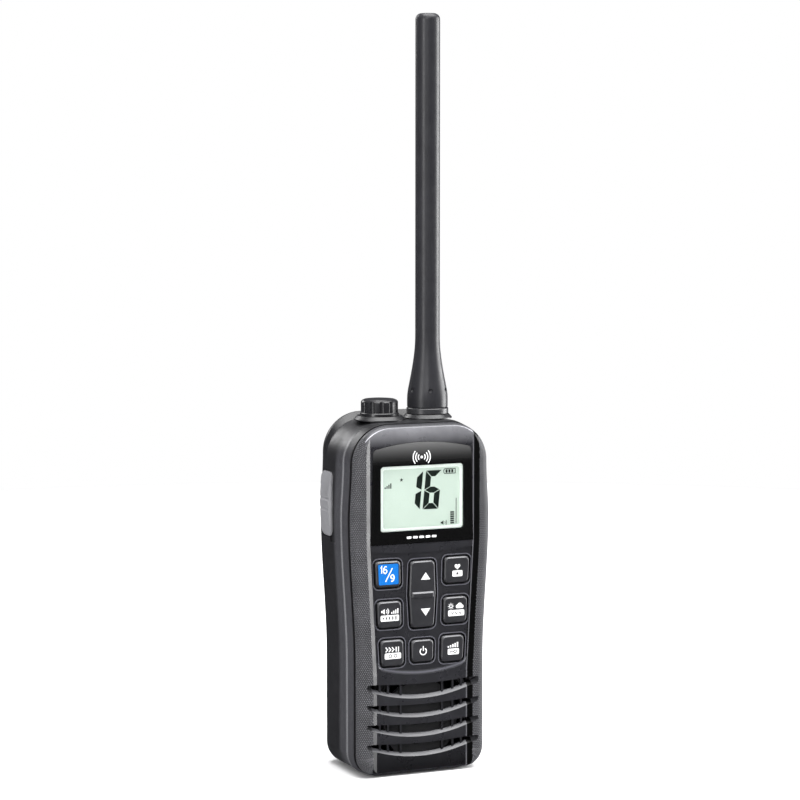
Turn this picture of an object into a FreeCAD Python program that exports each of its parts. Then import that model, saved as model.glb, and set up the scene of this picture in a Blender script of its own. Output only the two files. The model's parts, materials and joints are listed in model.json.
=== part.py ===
# Handheld two-way radio with a screw-on whip antenna, a sealed accessory jack,
# a rubber-keyed front and a clip-on battery pack.
# Frame: +Z up, front face towards -Y, +X to the right seen from the front.
# Origin: middle of the flat base. Units: millimetres.
import FreeCAD, Part
import math
import os

os.makedirs("parts", exist_ok=True)
Vector = FreeCAD.Vector

# ---- driving dimensions: housing ----
body_width = 60.8
body_height = 140.6
body_depth = 38.5
rear_rise = 2.4            # the rear of the housing stands this much above the deck
waist_inset = 2.4          # each side, lower half of the housing
shoulder_inset = 1.0       # each side, where the top corners start
waist_top_z = 45.0
belly_drop = 38.6          # widest place, below the deck
bottom_corner_r = 9.0
top_corner_r = 16.0
rear_round = 6.5
wall = 2.0
front_wall = 1.5
face_depth = 4.4           # bezel and grips, in front of the groove
face_round = 3.9
face_inset = 0.7
groove_width = 1.0
groove_depth = 0.7
ridge_offset = 10.2        # ridge behind the front
seam_offset = 17.65        # case seam behind the front
seam_inset = 0.2
top_plate_t = 2.0
top_plate_half_x = 22.6
top_plate_front = 11.6
top_plate_back = 8.4
rear_slope_start = 10.3
rear_slope_length = 2.2

# ---- bezel ----
strip_width_top = 6.0
strip_width_bottom = 6.4
panel_recess = 1.0
band_width = 2.0           # slanted band between the grips and the panel
bezel_t = 2.0
bezel_rim = 1.2
field_depth = 0.6          # keypad field below the panel
field_margin = 0.5
field_top_gap = 2.6        # below the lens
field_top_arch = 1.2
field_shoulder = 6.6       # corners above the ledge
field_foot = 2.2           # ledge ends inside the field's sides
field_bow = 0.38           # how far up its corner arc bows out
field_bow_out = 0.79
ledge_drop_front = 0.8     # the ledge's bevel starts this much lower
ledge_rise_back = 0.9

# ---- display ----
lens_top_drop = 9.9        # corners of the lens below the deck
lens_height = 37.8
lens_half_top = 21.2
lens_half_bottom = 22.0
lens_arch = 2.3
lens_arch_start = 0.14     # the arch springs this much above the corners
lens_corner_r = 2.2
lens_t = 0.8
lens_stand = 0.1
lens_gap = 0.12
window_half = 17.9
window_height = 26.0
window_rise = 4.9          # window bottom above the lens bottom
frame_border = 1.3
frame_t = 0.8
lcd_t = 1.8
backlight_gap = 0.1        # to the main board
display_r = 1.2

# ---- keys ----
key_height = 10.2
key_lean = 0.35            # the bottom edge is this much nearer the middle
key_corner_r = 1.6
key_bevel = 0.45
key_proud = 0.4
key_gap = 0.9
key_flange = 0.6
key_flange_t = 0.8
key_travel = 0.8
rim_width = 0.4
rim_height = 0.3
row_drops = (11.65, 27.7, 43.2)
column_x = (15.0, 14.4, 13.2)
column_widths = (10.7, 10.2, 9.7)
power_width = 9.4
power_height = 8.6
rocker_height = 26.4
rocker_width_top = 10.2
rocker_width_middle = 11.3
rocker_width_bottom = 9.7
rocker_drop = 20.5
rocker_swing_room = 0.7
ridge_height = 0.6
ridge_width = 2.6
ridge_slope = 0.65
rocker_waist_r = 14.0
rocker_pivot_r = 0.6
rocker_pivot_half = 4.0
insert_inset = 1.0
insert_t = 0.35
mat_t = 0.9
mat_back = 0.4
board_t = 1.6

# ---- grille ----
ledge_drop = 51.9          # keypad ledge below the lens bottom
slot_drops = (9.7, 17.3, 25.1, 33.0)
slot_heights = (5.2, 4.5, 4.5, 4.6)
ledge_t = 1.3
slot_overrun = 2.5         # slots run this far into the grips
ledge_rise = 4.79          # ends of a slot's lower edge above its middle
slot_top_rise = 1.39
rib_x = (-18.0, -14.5, -9.0, 9.0, 13.6, 17.4)
rib_w = 0.9
rib_setback = 0.9
speaker_r = 16.0
speaker_depth = 7.5
screen_t = 0.4

# ---- top ----
deck_axis_y = -0.25
antenna_x = 10.1
jack_x = -10.8
antenna_length = 156.4
ferrule_r = 8.4
ferrule_h = 2.5
antenna_collar_r = 9.8
jack_collar_r = 10.2
collar_h = 1.7
collar_slope = 1.2
collar_edge = 0.4
whip_r = 4.9
base_r = 8.15
tip_round = 2.4
# radius and height above the ferrule along the flare, from the base to the whip
flare_points = ((base_r, 3.4), (7.45, 9.0), (6.3, 15.0), (5.4, 21.0), (whip_r, 30.0))
dimple_rise = 7.2
thread_r = 3.1
thread_play = 0.05
thread_height = 5.0
connector_flange = 1.6
connector_bore_r = 0.75
connector_depth = 7.0      # below the top plate
core_r = 1.2
seal_section = 1.0
cap_r = 7.4
cap_skirt_r = 7.75
cap_height = 6.8
cap_skirt_h = 1.3
flute_count = 12
flute_r = 1.15
flute_depth = 0.55
jack_neck_r = 4.5
jack_flange = 1.2
jack_bore_r = 1.8
jack_neck_h = 3.6
jack_depth = 9.0           # below the top plate
dimple_count = 6
dimple_r = 0.8
dimple_depth = 0.35
dimple_ring_r = 7.65       # sheath radius at the dimples

# ---- push-to-talk ----
ptt_front = 3.4            # front edge behind the middle plane
ptt_length_y = 10.2
ptt_height = 25.8
ptt_drop = 33.6            # centre below the deck
ptt_proud = 0.8
ptt_crown_r = 62.0         # curve of its outer face, seen from the front
ptt_rib_depth = 0.3
ptt_rib_r = 1.2
ptt_recess = 3.4           # relief in front of the button
ptt_relief_depth = 0.7
ptt_travel = 1.0
ptt_rib_count = 6
ptt_corner_r = 3.0
ptt_gap = 0.3
ptt_seat = 1.1             # flange behind the wall, clear of its lean

# ---- battery pack ----
pack_bottom = 3.2
pack_top_drop = 49.6
pack_front = 7.0
pack_lip = 6.5             # thickness behind the side rails, from the rear
rail_inset = 2.6
pack_wall = 1.5
pack_gap = 0.2
cell_gap = 0.6
latch_width = 16.0
latch_height = 7.0
latch_t = 2.0
latch_travel = 2.0
latch_gap = 0.3
latch_tongue_rise = 1.6
latch_tongue_inset = 3.3   # each side, from the slider
latch_notch_inset = 2.8
latch_notch_depth = 1.2
latch_notch_z = 1.2
contact_pitch = 7.0
contact_size = 3.6
contact_t = 0.5
pin_r = 1.2
pin_tip_r = 0.7
pin_drop = 8.0             # below the pack's top

# ---- belt clip ----
clip_width = 22.0
clip_top_z = 84.0
clip_length = 62.0
clip_t = 2.2
clip_space = 5.4
clip_base_h = 20.0
clip_base_t = 1.8
clip_pin_r = 1.25
clip_pin_play = 0.05
clip_axis_z = 76.0
clip_screw_r = 1.25
clip_screw_head_r = 2.2
clip_taper_h = 14.0
clip_lip_inset = 5.0

# ---- fasteners and small parts ----
screw_r = 1.3
screw_head_r = 2.4
screw_head_h = 1.6
boss_r = 3.0
board_screw_r = 1.0
board_screw_head_r = 1.9
gasket_inset = 0.6
gasket_w = 0.8
gasket_end_x = 17.4
strap_eye_r = 1.75
strap_eye_t = 3.0
strap_eye_inset = 11.5     # inside the shoulder
strap_eye_drop = 15.0      # below the rear's top
strap_eye_depth = 6.4      # notch in front of the back face
strap_notch_h = 10.0
strap_lug_setback = 0.4

# ---- values worked out from the driving dimensions ----
half_width = body_width / 2
y_front = -body_depth / 2
y_rear = body_depth / 2
y_panel = y_front + panel_recess
y_face_back = y_front + face_depth
y_seam = y_front + seam_offset
y_bezel_back = y_panel + bezel_t
waist_half = half_width - waist_inset
shoulder_half = half_width - shoulder_inset
belly_z = body_height - belly_drop
rear_height = body_height + rear_rise
cavity_height = body_height - top_plate_t
lens_top = body_height - lens_top_drop
lens_bottom = lens_top - lens_height
ledge_z = lens_bottom - ledge_drop
y_key_front = y_panel - key_proud
y_field = y_panel + field_depth
y_mat_front = y_bezel_back + 0.05 + key_flange_t + key_travel + 0.1
y_board_front = y_mat_front + mat_t + mat_back
pack_top = rear_height - pack_top_drop - rear_rise
y_rail_back = y_rear - pack_lip
slot_half = waist_half - strip_width_bottom + slot_overrun
ledge_r = (slot_half ** 2 + ledge_rise ** 2) / (2 * ledge_rise)
slot_top_r = (slot_half ** 2 + slot_top_rise ** 2) / (2 * slot_top_rise)
big = 400.0


# ---- shape helpers ----
def box(x0, x1, y0, y1, z0, z1):
    return Part.makeBox(x1 - x0, y1 - y0, z1 - z0, Vector(x0, y0, z0))


def cylinder(radius, start, end):
    """Solid rod between two points."""
    run = Vector(*end) - Vector(*start)
    return Part.makeCylinder(radius, run.Length, Vector(*start), run)


def tube(outer, inner, start, end):
    return cylinder(outer, start, end).cut(cylinder(inner, start, end))


def turned(profile, x, y):
    """Solid of revolution about a vertical line; profile is a list of (radius, z)."""
    points = [Vector(x + r, y, z) for r, z in profile]
    face = Part.Face(Part.makePolygon(points + [points[0]]))
    return face.revolve(Vector(x, y, 0), Vector(0, 0, 1), 360)


def outline(inset, y, height=body_height):
    """Housing outline at depth y, pulled in by inset all round."""
    low = waist_half - inset
    wide = half_width - inset
    high = shoulder_half - inset
    r_low = bottom_corner_r - inset
    r_high = top_corner_r - inset
    x_low = waist_half - bottom_corner_r
    x_high = shoulder_half - top_corner_r
    z_high = height - top_corner_r
    handle_low = (belly_z - waist_top_z) / 3
    handle_high = (z_high - belly_z) / 3
    s = math.sqrt(0.5)

    def side(sign):
        lower = Part.BezierCurve()
        lower.setPoles([
            Vector(sign * low, y, waist_top_z),
            Vector(sign * low, y, waist_top_z + handle_low),
            Vector(sign * wide, y, belly_z - handle_low),
            Vector(sign * wide, y, belly_z),
        ])
        upper = Part.BezierCurve()
        upper.setPoles([
            Vector(sign * wide, y, belly_z),
            Vector(sign * wide, y, belly_z + handle_high),
            Vector(sign * high, y, z_high - handle_high),
            Vector(sign * high, y, z_high),
        ])
        bottom_arc = Part.Arc(
            Vector(sign * x_low, y, inset),
            Vector(sign * (x_low + r_low * s), y, bottom_corner_r - r_low * s),
            Vector(sign * low, y, bottom_corner_r),
        )
        top_arc = Part.Arc(
            Vector(sign * high, y, z_high),
            Vector(sign * (x_high + r_high * s), y, z_high + r_high * s),
            Vector(sign * x_high, y, height - inset),
        )
        straight = Part.makeLine(Vector(sign * low, y, bottom_corner_r),
                                 Vector(sign * low, y, waist_top_z))
        return [bottom_arc.toShape(), straight, lower.toShape(), upper.toShape(), top_arc.toShape()]

    right = side(1)
    left = side(-1)
    top = Part.makeLine(Vector(x_high, y, height - inset), Vector(-x_high, y, height - inset))
    bottom = Part.makeLine(Vector(-x_low, y, inset), Vector(x_low, y, inset))
    return Part.Wire(right + [top] + left[::-1] + [bottom])


def slab(inset, y0, y1, height=body_height):
    """Straight block with the housing outline."""
    return Part.Face(outline(inset, y0, height)).extrude(Vector(0, y1 - y0, 0))


def loft(wires):
    return Part.makeLoft(wires, True, True)


def rounded(points, radius, y):
    """Closed wire at depth y through (x, z) points, with rounded corners; one radius or a list."""
    edges = []
    count = len(points)
    radii = radius if isinstance(radius, list) else [radius] * count
    ends = []
    for i in range(count):
        px, pz = points[i - 1]
        cx, cz = points[i]
        nx, nz = points[(i + 1) % count]
        a = Vector(px - cx, 0, pz - cz).normalize()
        b = Vector(nx - cx, 0, nz - cz).normalize()
        half = a.getAngle(b) / 2
        reach = radii[i] / math.tan(half)
        corner = Vector(cx, y, cz)
        bisector = (a + b).normalize()
        bow = corner + bisector * (radii[i] / math.sin(half) - radii[i])
        ends.append((corner + a * reach, bow, corner + b * reach))
    for i in range(count):
        start, bow, end = ends[i]
        edges.append(Part.Arc(start, bow, end).toShape())
        following = ends[(i + 1) % count][0]
        if (following - end).Length > 1e-6:
            edges.append(Part.makeLine(end, following))
    return Part.Wire(edges)


def grow(points, distance):
    """Offset a convex (x, z) polygon outwards."""
    count = len(points)
    area = sum(points[i - 1][0] * points[i][1] - points[i][0] * points[i - 1][1] for i in range(count))
    turn = 1 if area > 0 else -1
    lines = []
    for i in range(count):
        x0, z0 = points[i]
        x1, z1 = points[(i + 1) % count]
        length = math.hypot(x1 - x0, z1 - z0)
        nx = turn * (z1 - z0) / length
        nz = -turn * (x1 - x0) / length
        lines.append((nx, nz, nx * x0 + nz * z0 + distance))
    grown = []
    for i in range(count):
        a1, b1, c1 = lines[i - 1]
        a2, b2, c2 = lines[i]
        det = a1 * b2 - a2 * b1
        grown.append(((c1 * b2 - c2 * b1) / det, (a1 * c2 - a2 * c1) / det))
    return grown


def plate(points, radius, y0, y1):
    """Rounded polygon plate from depth y0 to y1."""
    return Part.Face(rounded(points, radius, y0)).extrude(Vector(0, y1 - y0, 0))


def tapered(points, radius, y0, grow0, y1, grow1):
    """Plate whose outline changes from one depth to the other."""
    return loft([rounded(grow(points, grow0), radius, y0), rounded(grow(points, grow1), radius, y1)])


def rectangle(x, z, width, height):
    return [(x - width / 2, z - height / 2), (x + width / 2, z - height / 2),
            (x + width / 2, z + height / 2), (x - width / 2, z + height / 2)]


def panel_edge(offset):
    """Right-hand boundary between the panel and the grip, as (x, z) from bottom to top."""
    lower = waist_half - strip_width_bottom + offset
    upper = half_width - strip_width_top + offset
    return [(lower, -5), (lower, ledge_z), (upper, lens_bottom), (upper, rear_height + 5)]


def panel_region(offset, y0, y1, offset_back=None):
    """Block between the two grips, with the grips' tapered boundary."""
    def wire(extra, y):
        right = panel_edge(extra)
        points = right + [(-x, z) for x, z in reversed(right)]
        vectors = [Vector(x, y, z) for x, z in points]
        return Part.makePolygon(vectors + [vectors[0]])
    if offset_back is None:
        return Part.Face(wire(offset, y0)).extrude(Vector(0, y1 - y0, 0))
    return loft([wire(offset, y0), wire(offset_back, y1)])


def smile(half, low_z, top_z, y):
    """Wire of a curved slot: lower arc ledge_r, upper arc slot_top_r."""
    def lower(x):
        return low_z + ledge_r - math.sqrt(ledge_r ** 2 - x ** 2)

    def upper(x):
        return top_z + slot_top_r - math.sqrt(slot_top_r ** 2 - x ** 2)

    a = Vector(-half, y, lower(half))
    b = Vector(half, y, lower(half))
    c = Vector(half, y, upper(half))
    d = Vector(-half, y, upper(half))
    return Part.Wire([
        Part.Arc(a, Vector(0, y, low_z), b).toShape(),
        Part.makeLine(b, c),
        Part.Arc(c, Vector(0, y, top_z), d).toShape(),
        Part.makeLine(d, a),
    ])


def save(name, shape):
    """Write one node as STEP, checking it is made of valid solids."""
    if not shape.Solids:
        raise ValueError(name + " has no solid")
    if not shape.isValid():
        raise ValueError(name + " is not valid")
    shape.exportStep("parts/" + name + ".step")
    print(name, len(shape.Solids), round(shape.Volume, 1))


def group(shapes):
    return Part.makeCompound(shapes)


# ---- where things are ----
row_z = [lens_bottom - drop for drop in row_drops]
rocker_z = lens_bottom - rocker_drop
window_z = lens_bottom + window_rise + window_height / 2
slot_z = [ledge_z - drop for drop in slot_drops]
speaker_z = (slot_z[0] + slot_z[-1]) / 2 + 1.8
board_top = cavity_height - 6.0
screw_top_z = body_height - 27.0
screw_low_z = 14.0
screw_x = waist_half - 6.5
ptt_z = body_height - ptt_drop


def key_points(x, z, width, height, lean):
    """Corners of a key; the lower edge leans towards the middle of the radio."""
    towards = -math.copysign(lean, x) if abs(x) > 0.01 else 0.0
    narrow = lean / 2
    low = z - height / 2
    high = z + height / 2
    return [(x - width / 2 + towards + narrow, low), (x + width / 2 + towards - narrow, low),
            (x + width / 2, high), (x - width / 2, high)]


key_names = (("key_sixteen", "key_favourite"), ("key_volume", "key_channel"), ("key_scan", "key_lock"))
keys = {}
for row in range(3):
    for side in range(2):
        sign = (-1, 1)[side]
        keys[key_names[row][side]] = key_points(sign * column_x[row], row_z[row], column_widths[row],
                                                key_height, key_lean)
keys["key_power"] = key_points(0.0, row_z[2], power_width, power_height, 0.3)
rocker_low = rocker_z - rocker_height / 2
rocker_high = rocker_z + rocker_height / 2
rocker_points = [
    (-rocker_width_bottom / 2, rocker_low), (rocker_width_bottom / 2, rocker_low),
    (rocker_width_middle / 2, rocker_z), (rocker_width_top / 2, rocker_high),
    (-rocker_width_top / 2, rocker_high), (-rocker_width_middle / 2, rocker_z),
]


def rocker_radii(radius):
    """Corner radii of the rocker: small at its ends, wide at its waist."""
    return [radius, radius, rocker_waist_r, radius, radius, rocker_waist_r]


# ---- front mouldings ----
def face_block():
    block = slab(face_inset, y_front, y_face_back)
    front_edges = []
    for edge in block.Edges:
        low = edge.BoundBox
        if abs(low.YMin - y_front) < 1e-4 and abs(low.YMax - y_front) < 1e-4:
            front_edges.append(edge)
    return block.makeFillet(face_round, front_edges)


def slot_cutters(deep):
    """Grille slots with a bevelled lower lip, through to depth deep."""
    half = slot_half
    cutters = []
    for low, tall in zip(slot_z, slot_heights):
        front = smile(half, low - ledge_t / 2, low + tall, y_front - 1)
        at_panel = smile(half, low - ledge_t / 2, low + tall, y_panel)
        back = smile(half, low + ledge_t / 2, low + tall, y_panel + ledge_t)
        through = smile(half, low + ledge_t / 2, low + tall, deep)
        cutters.append(loft([front, at_panel]).fuse(loft([at_panel, back])).fuse(loft([back, through])))
    return cutters


def lens_wire(extra, y):
    bottom = lens_bottom - extra
    top = lens_top + extra
    wide = lens_half_bottom + extra
    narrow = lens_half_top + extra
    r = lens_corner_r + extra
    peak = top + lens_arch
    start = top + lens_arch_start

    def corner(sign):
        return Part.Arc(Vector(sign * narrow, y, top - r), Vector(sign * (narrow - 0.25 * r), y, top - 0.28 * r),
                        Vector(sign * (narrow - r), y, start)).toShape()

    arch = Part.Arc(Vector(narrow - r, y, start), Vector(0, y, peak), Vector(r - narrow, y, start))
    return Part.Wire([
        Part.makeLine(Vector(-wide, y, bottom), Vector(wide, y, bottom)),
        Part.makeLine(Vector(wide, y, bottom), Vector(narrow, y, top - r)),
        corner(1),
        arch.toShape(),
        corner(-1),
        Part.makeLine(Vector(-narrow, y, top - r), Vector(-wide, y, bottom)),
    ])


def keypad_field():
    """Sunken field around the keys, with a bevelled smile-shaped lower ledge."""
    def wire(low, side, y):
        top = lens_bottom - field_top_gap
        half_top = half_width - strip_width_top - band_width - side
        half_low = waist_half - strip_width_bottom - band_width - side
        shoulder = ledge_z + field_shoulder
        foot = half_low - field_foot
        rise = ledge_r - math.sqrt(ledge_r ** 2 - foot ** 2)
        half_shoulder = half_low + (half_top - half_low) * (shoulder - ledge_z) / (lens_bottom - ledge_z)
        half_peak = half_low + (half_top - half_low) * (top - ledge_z) / (lens_bottom - ledge_z)
        right_low = Vector(foot, y, low + rise)
        left_low = Vector(-foot, y, low + rise)
        right_side = Vector(half_shoulder, y, shoulder)
        left_side = Vector(-half_shoulder, y, shoulder)
        right_top = Vector(half_peak, y, top)
        left_top = Vector(-half_peak, y, top)
        right_bow = Vector(foot + (half_shoulder - foot) * field_bow_out, y,
                           low + rise + (shoulder - low - rise) * field_bow)
        left_bow = Vector(-right_bow.x, y, right_bow.z)
        return Part.Wire([
            Part.Arc(left_low, Vector(0, y, low), right_low).toShape(),
            Part.Arc(right_low, right_bow, right_side).toShape(),
            Part.makeLine(right_side, right_top),
            Part.Arc(right_top, Vector(0, y, top - field_top_arch), left_top).toShape(),
            Part.makeLine(left_top, left_side),
            Part.Arc(left_side, left_bow, left_low).toShape(),
        ])
    above = wire(ledge_z - ledge_drop_front, field_margin, y_panel - 1)
    front = wire(ledge_z - ledge_drop_front, field_margin, y_panel)
    back = wire(ledge_z + ledge_rise_back, field_margin + 0.2, y_field)
    return loft([above, front]).fuse(loft([front, back]))


def all_key_holes(extra):
    """Key openings as (points, corner radius) with the given growth."""
    shapes = [(grow(points, extra), key_corner_r + extra * 0.8) for points in keys.values()]
    shapes.append((grow(rocker_points, extra), rocker_radii(key_corner_r + extra * 0.8)))
    return shapes


face = face_block()
between = panel_region(0, y_front - 1, y_face_back + 1)
grips = face.cut(between)
slots = slot_cutters(y_face_back + 3)
for cutter in slots:
    grips = grips.cut(cutter.common(box(-big, big, y_front - 2, y_panel + 2.2, 0, big)))
grip_solids = sorted([s for s in grips.Solids if s.Volume > 50], key=lambda s: s.CenterOfMass.x)
save("grip_left", grip_solids[0])
save("grip_right", grip_solids[-1])

bezel = face.common(panel_region(-0.02, y_front - 1, y_face_back + 1))
bezel = bezel.cut(panel_region(0, y_front, y_panel, -band_width))
behind = panel_region(-bezel_rim, y_bezel_back, y_face_back + 1)
behind = behind.common(slab(face_inset + face_round + 0.6, y_front, y_face_back + 2))
bezel = bezel.cut(behind)
bezel = bezel.cut(Part.Face(lens_wire(lens_gap, y_front - 1)).extrude(
    Vector(0, y_panel - lens_stand + lens_t - y_front + 1, 0)))
bezel = bezel.cut(keypad_field())
for points, radius in all_key_holes(key_gap + rim_width):
    bezel = bezel.fuse(plate(points, radius, y_field - rim_height, y_field + 0.1))
for points, radius in all_key_holes(key_gap):
    bezel = bezel.cut(plate(points, radius, y_front - 1, y_face_back + 1))
window = rectangle(0, window_z, 2 * window_half, window_height)
bezel = bezel.cut(plate(window, display_r, y_front, y_face_back + 1))
for cutter in slots:
    bezel = bezel.cut(cutter)
ribs = []
for x in rib_x:
    low_rib = slot_z[-1] - 1
    high_rib = slot_z[0] + slot_heights[0] + 1
    ribs.append(box(x - rib_w / 2, x + rib_w / 2, y_panel + rib_setback, y_bezel_back, low_rib, high_rib))
for rib in ribs:
    bezel = bezel.fuse(rib)
bezel = bezel.removeSplitter()
save("face_bezel", max(bezel.Solids, key=lambda s: s.Volume))

# ---- front case ----
y_groove_back = y_face_back + groove_width
y_ridge = y_front + ridge_offset
front_outer = slab(face_inset + groove_depth, y_face_back, y_groove_back)
front_outer = front_outer.fuse(loft([outline(0.5, y_groove_back), outline(0, y_ridge)]))
front_outer = front_outer.fuse(loft([outline(0, y_ridge), outline(seam_inset, y_seam)]))
front_cavity = slab(wall + 0.4, y_face_back + front_wall, y_seam + 1, cavity_height)
front_opening = panel_region(-bezel_rim, y_face_back - 1, y_face_back + 3)
front_opening = front_opening.common(slab(face_inset + face_round + 0.6, y_face_back - 1, y_face_back + 3))
top_plate_hole = box(-top_plate_half_x, top_plate_half_x, deck_axis_y - top_plate_front,
                     deck_axis_y + top_plate_back, cavity_height, body_height + 5)
gasket = slab(gasket_inset, y_seam - gasket_w, y_seam, cavity_height)
gasket = gasket.cut(slab(gasket_inset + gasket_w, y_seam - gasket_w, y_seam, cavity_height))
gasket = gasket.cut(box(-gasket_end_x, gasket_end_x, -big, big, cavity_height - 4.0, big))
connector_room = [
    cylinder(thread_r + connector_flange + 0.1, (antenna_x, deck_axis_y, cavity_height - 4.0),
             (antenna_x, deck_axis_y, cavity_height)),
    cylinder(jack_neck_r + jack_flange + 0.1, (jack_x, deck_axis_y, cavity_height - 4.0),
             (jack_x, deck_axis_y, cavity_height)),
]
foot_half = waist_half - bottom_corner_r
front_outer = front_outer.fuse(box(-foot_half, foot_half, y_ridge, y_seam, 0, gasket_inset))
front_case = front_outer.cut(front_cavity).cut(front_opening)
bosses = []
for x in (-screw_x, screw_x):
    for z in (screw_low_z, screw_top_z):
        bosses.append((x, z))
for x, z in bosses:
    front_case = front_case.fuse(cylinder(boss_r, (x, y_face_back + front_wall - 0.1, z), (x, y_seam, z)))
    front_case = front_case.cut(cylinder(screw_r, (x, y_face_back + 4.0, z), (x, y_seam + 1, z)))
front_case = front_case.cut(top_plate_hole).cut(gasket)
for room in connector_room:
    front_case = front_case.cut(room)
front_case = front_case.removeSplitter()
save("front_case", max(front_case.Solids, key=lambda s: s.Volume))
save("case_gasket", gasket)

# ---- rear case ----
y_slope_end = rear_slope_start + rear_slope_length
rear_middle = loft([outline(seam_inset, y_seam), outline(0, rear_slope_start)])
rear_slope = loft([outline(0, rear_slope_start), outline(0, y_slope_end, rear_height)])
rear_block = slab(0, y_slope_end, y_rear, rear_height)
rear_edges = [e for e in rear_block.Edges
              if abs(e.BoundBox.YMin - y_rear) < 1e-4 and abs(e.BoundBox.YMax - y_rear) < 1e-4]
rear_block = rear_block.makeFillet(rear_round, rear_edges)
rear_outer = rear_middle.fuse(rear_slope).fuse(rear_block)
rear_outer = rear_outer.fuse(box(-foot_half, foot_half, y_seam, rear_slope_start, 0, gasket_inset))

pack_zone = box(-big, big, y_rail_back, big, pack_bottom, pack_top)
bay_half = waist_half - rail_inset
bay_zone = box(-bay_half, bay_half, pack_front, big, pack_bottom, pack_top)
rear_case = rear_outer.cut(pack_zone).cut(bay_zone)
low_cavity = slab(wall, y_seam - 1, pack_front - wall, cavity_height)
head_cavity = slab(wall, pack_front - wall - 1, y_rear - wall, cavity_height)
head_cavity = head_cavity.common(box(-big, big, -big, big, pack_top + wall, big))
rear_case = rear_case.cut(low_cavity).cut(head_cavity).cut(top_plate_hole)
for room in connector_room:
    rear_case = rear_case.cut(room)


def ptt_plate(extra, x0, x1, radius):
    """Plate in the side wall: rounded rectangle in the YZ plane from x0 to x1."""
    y0 = ptt_front - extra
    y1 = ptt_front + ptt_length_y + extra
    z0 = ptt_z - ptt_height / 2 - extra
    z1 = ptt_z + ptt_height / 2 + extra
    flat = plate([(y0, z0), (y1, z0), (y1, z1), (y0, z1)], radius, 0, x1 - x0)
    flat.rotate(Vector(0, 0, 0), Vector(0, 0, 1), 90)
    flat.translate(Vector(x1, 0, 0))
    return flat


ptt_wall_x = -half_width
ptt_hole = ptt_plate(ptt_gap, ptt_wall_x - 3, ptt_wall_x + wall + 3, ptt_corner_r)
relief = box(ptt_wall_x - 2, ptt_wall_x + ptt_relief_depth, ptt_front - ptt_recess, ptt_front + 1,
             ptt_z - ptt_height / 2 - 2, ptt_z + ptt_height / 2 + 2)
rear_case = rear_case.cut(ptt_hole).cut(relief)

for x, z in bosses:
    y_end = pack_front if z < pack_top else y_rear - 3.0
    rear_case = rear_case.fuse(cylinder(boss_r + 0.4, (x, y_seam, z), (x, y_end, z)))
    seat = y_end - screw_head_h - (0.3 if z < pack_top else 1.5)
    rear_case = rear_case.cut(cylinder(screw_r, (x, y_seam - 1, z), (x, seat, z)))
    rear_case = rear_case.cut(cylinder(screw_head_r, (x, seat, z), (x, y_rear + 1, z)))

notch_half = latch_width / 2 - latch_notch_inset
notch = box(-notch_half, notch_half, y_rail_back - latch_notch_depth, y_rear + 1, latch_notch_z, pack_bottom + 1)
rear_case = rear_case.cut(notch)
eye_x = shoulder_half - strap_eye_inset
eye_z = rear_height - strap_eye_drop
eye_y = y_rear - strap_eye_depth / 2
eye_front = y_rear - strap_eye_depth
notch_x = eye_x - strap_notch_h
eye_notch = box(notch_x, big, eye_front, big, eye_z - strap_notch_h / 2, eye_z + strap_notch_h / 2)
eye_walls = box(notch_x - wall, big, eye_front - wall, y_rear - wall, eye_z - strap_notch_h / 2 - wall,
                eye_z + strap_notch_h / 2 + wall)
lug_half = (strap_notch_h + wall) / 2
eye_lug = box(eye_x - strap_eye_t / 2, eye_x + strap_eye_t / 2, eye_front - wall / 2,
              y_rear - strap_lug_setback, eye_z - lug_half, eye_z + lug_half)
rear_case = rear_case.fuse(eye_walls.common(rear_outer)).cut(eye_notch).fuse(eye_lug.common(rear_outer))
rear_case = rear_case.cut(cylinder(strap_eye_r, (eye_x - strap_eye_t, eye_y, eye_z),
                                   (eye_x + strap_eye_t, eye_y, eye_z)))
pin_z = pack_top - pin_drop
for i in (-1, 0, 1):
    x = i * contact_pitch
    rear_case = rear_case.cut(cylinder(pin_r, (x, 0, pin_z), (x, pack_front + 1, pin_z)))
rear_case = rear_case.removeSplitter()
save("rear_case", max(rear_case.Solids, key=lambda s: s.Volume))

screws = []
for x, z in bosses:
    y_end = pack_front if z < pack_top else y_rear - 3.0
    seat = y_end - screw_head_h - (0.3 if z < pack_top else 1.5)
    shaft = cylinder(screw_r, (x, y_face_back + 4.0, z), (x, seat, z))
    head = cylinder(screw_head_r - 0.1, (x, seat, z), (x, seat + screw_head_h, z))
    socket = box(x - 0.35, x + 0.35, seat + screw_head_h - 0.7, seat + screw_head_h, z - 1.5, z + 1.5)
    cross = box(x - 1.5, x + 1.5, seat + screw_head_h - 0.7, seat + screw_head_h, z - 0.35, z + 0.35)
    screws.append(shaft.fuse(head).cut(socket).cut(cross))
save("case_screws", group(screws))

# ---- top plate, connectors, collars ----
plate_front = deck_axis_y - top_plate_front + 0.05
plate_back = deck_axis_y + top_plate_back - 0.05
top_plate = box(-top_plate_half_x + 0.05, top_plate_half_x - 0.05, plate_front, plate_back,
                cavity_height, body_height)
top_plate = top_plate.common(front_outer.fuse(rear_outer))
top_plate = top_plate.cut(cylinder(thread_r, (antenna_x, deck_axis_y, 0), (antenna_x, deck_axis_y, big)))
top_plate = top_plate.cut(cylinder(jack_neck_r, (jack_x, deck_axis_y, 0), (jack_x, deck_axis_y, big)))
save("top_plate", top_plate)


def collar(x, outer, inner):
    top = body_height + collar_h
    return turned([(inner, body_height), (outer, body_height), (outer, body_height + collar_edge),
                   (outer - collar_slope, top), (inner, top)], x, deck_axis_y)


save("antenna_collar", collar(antenna_x, antenna_collar_r, thread_r + 0.9))
save("jack_collar", collar(jack_x, jack_collar_r, jack_neck_r))

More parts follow.
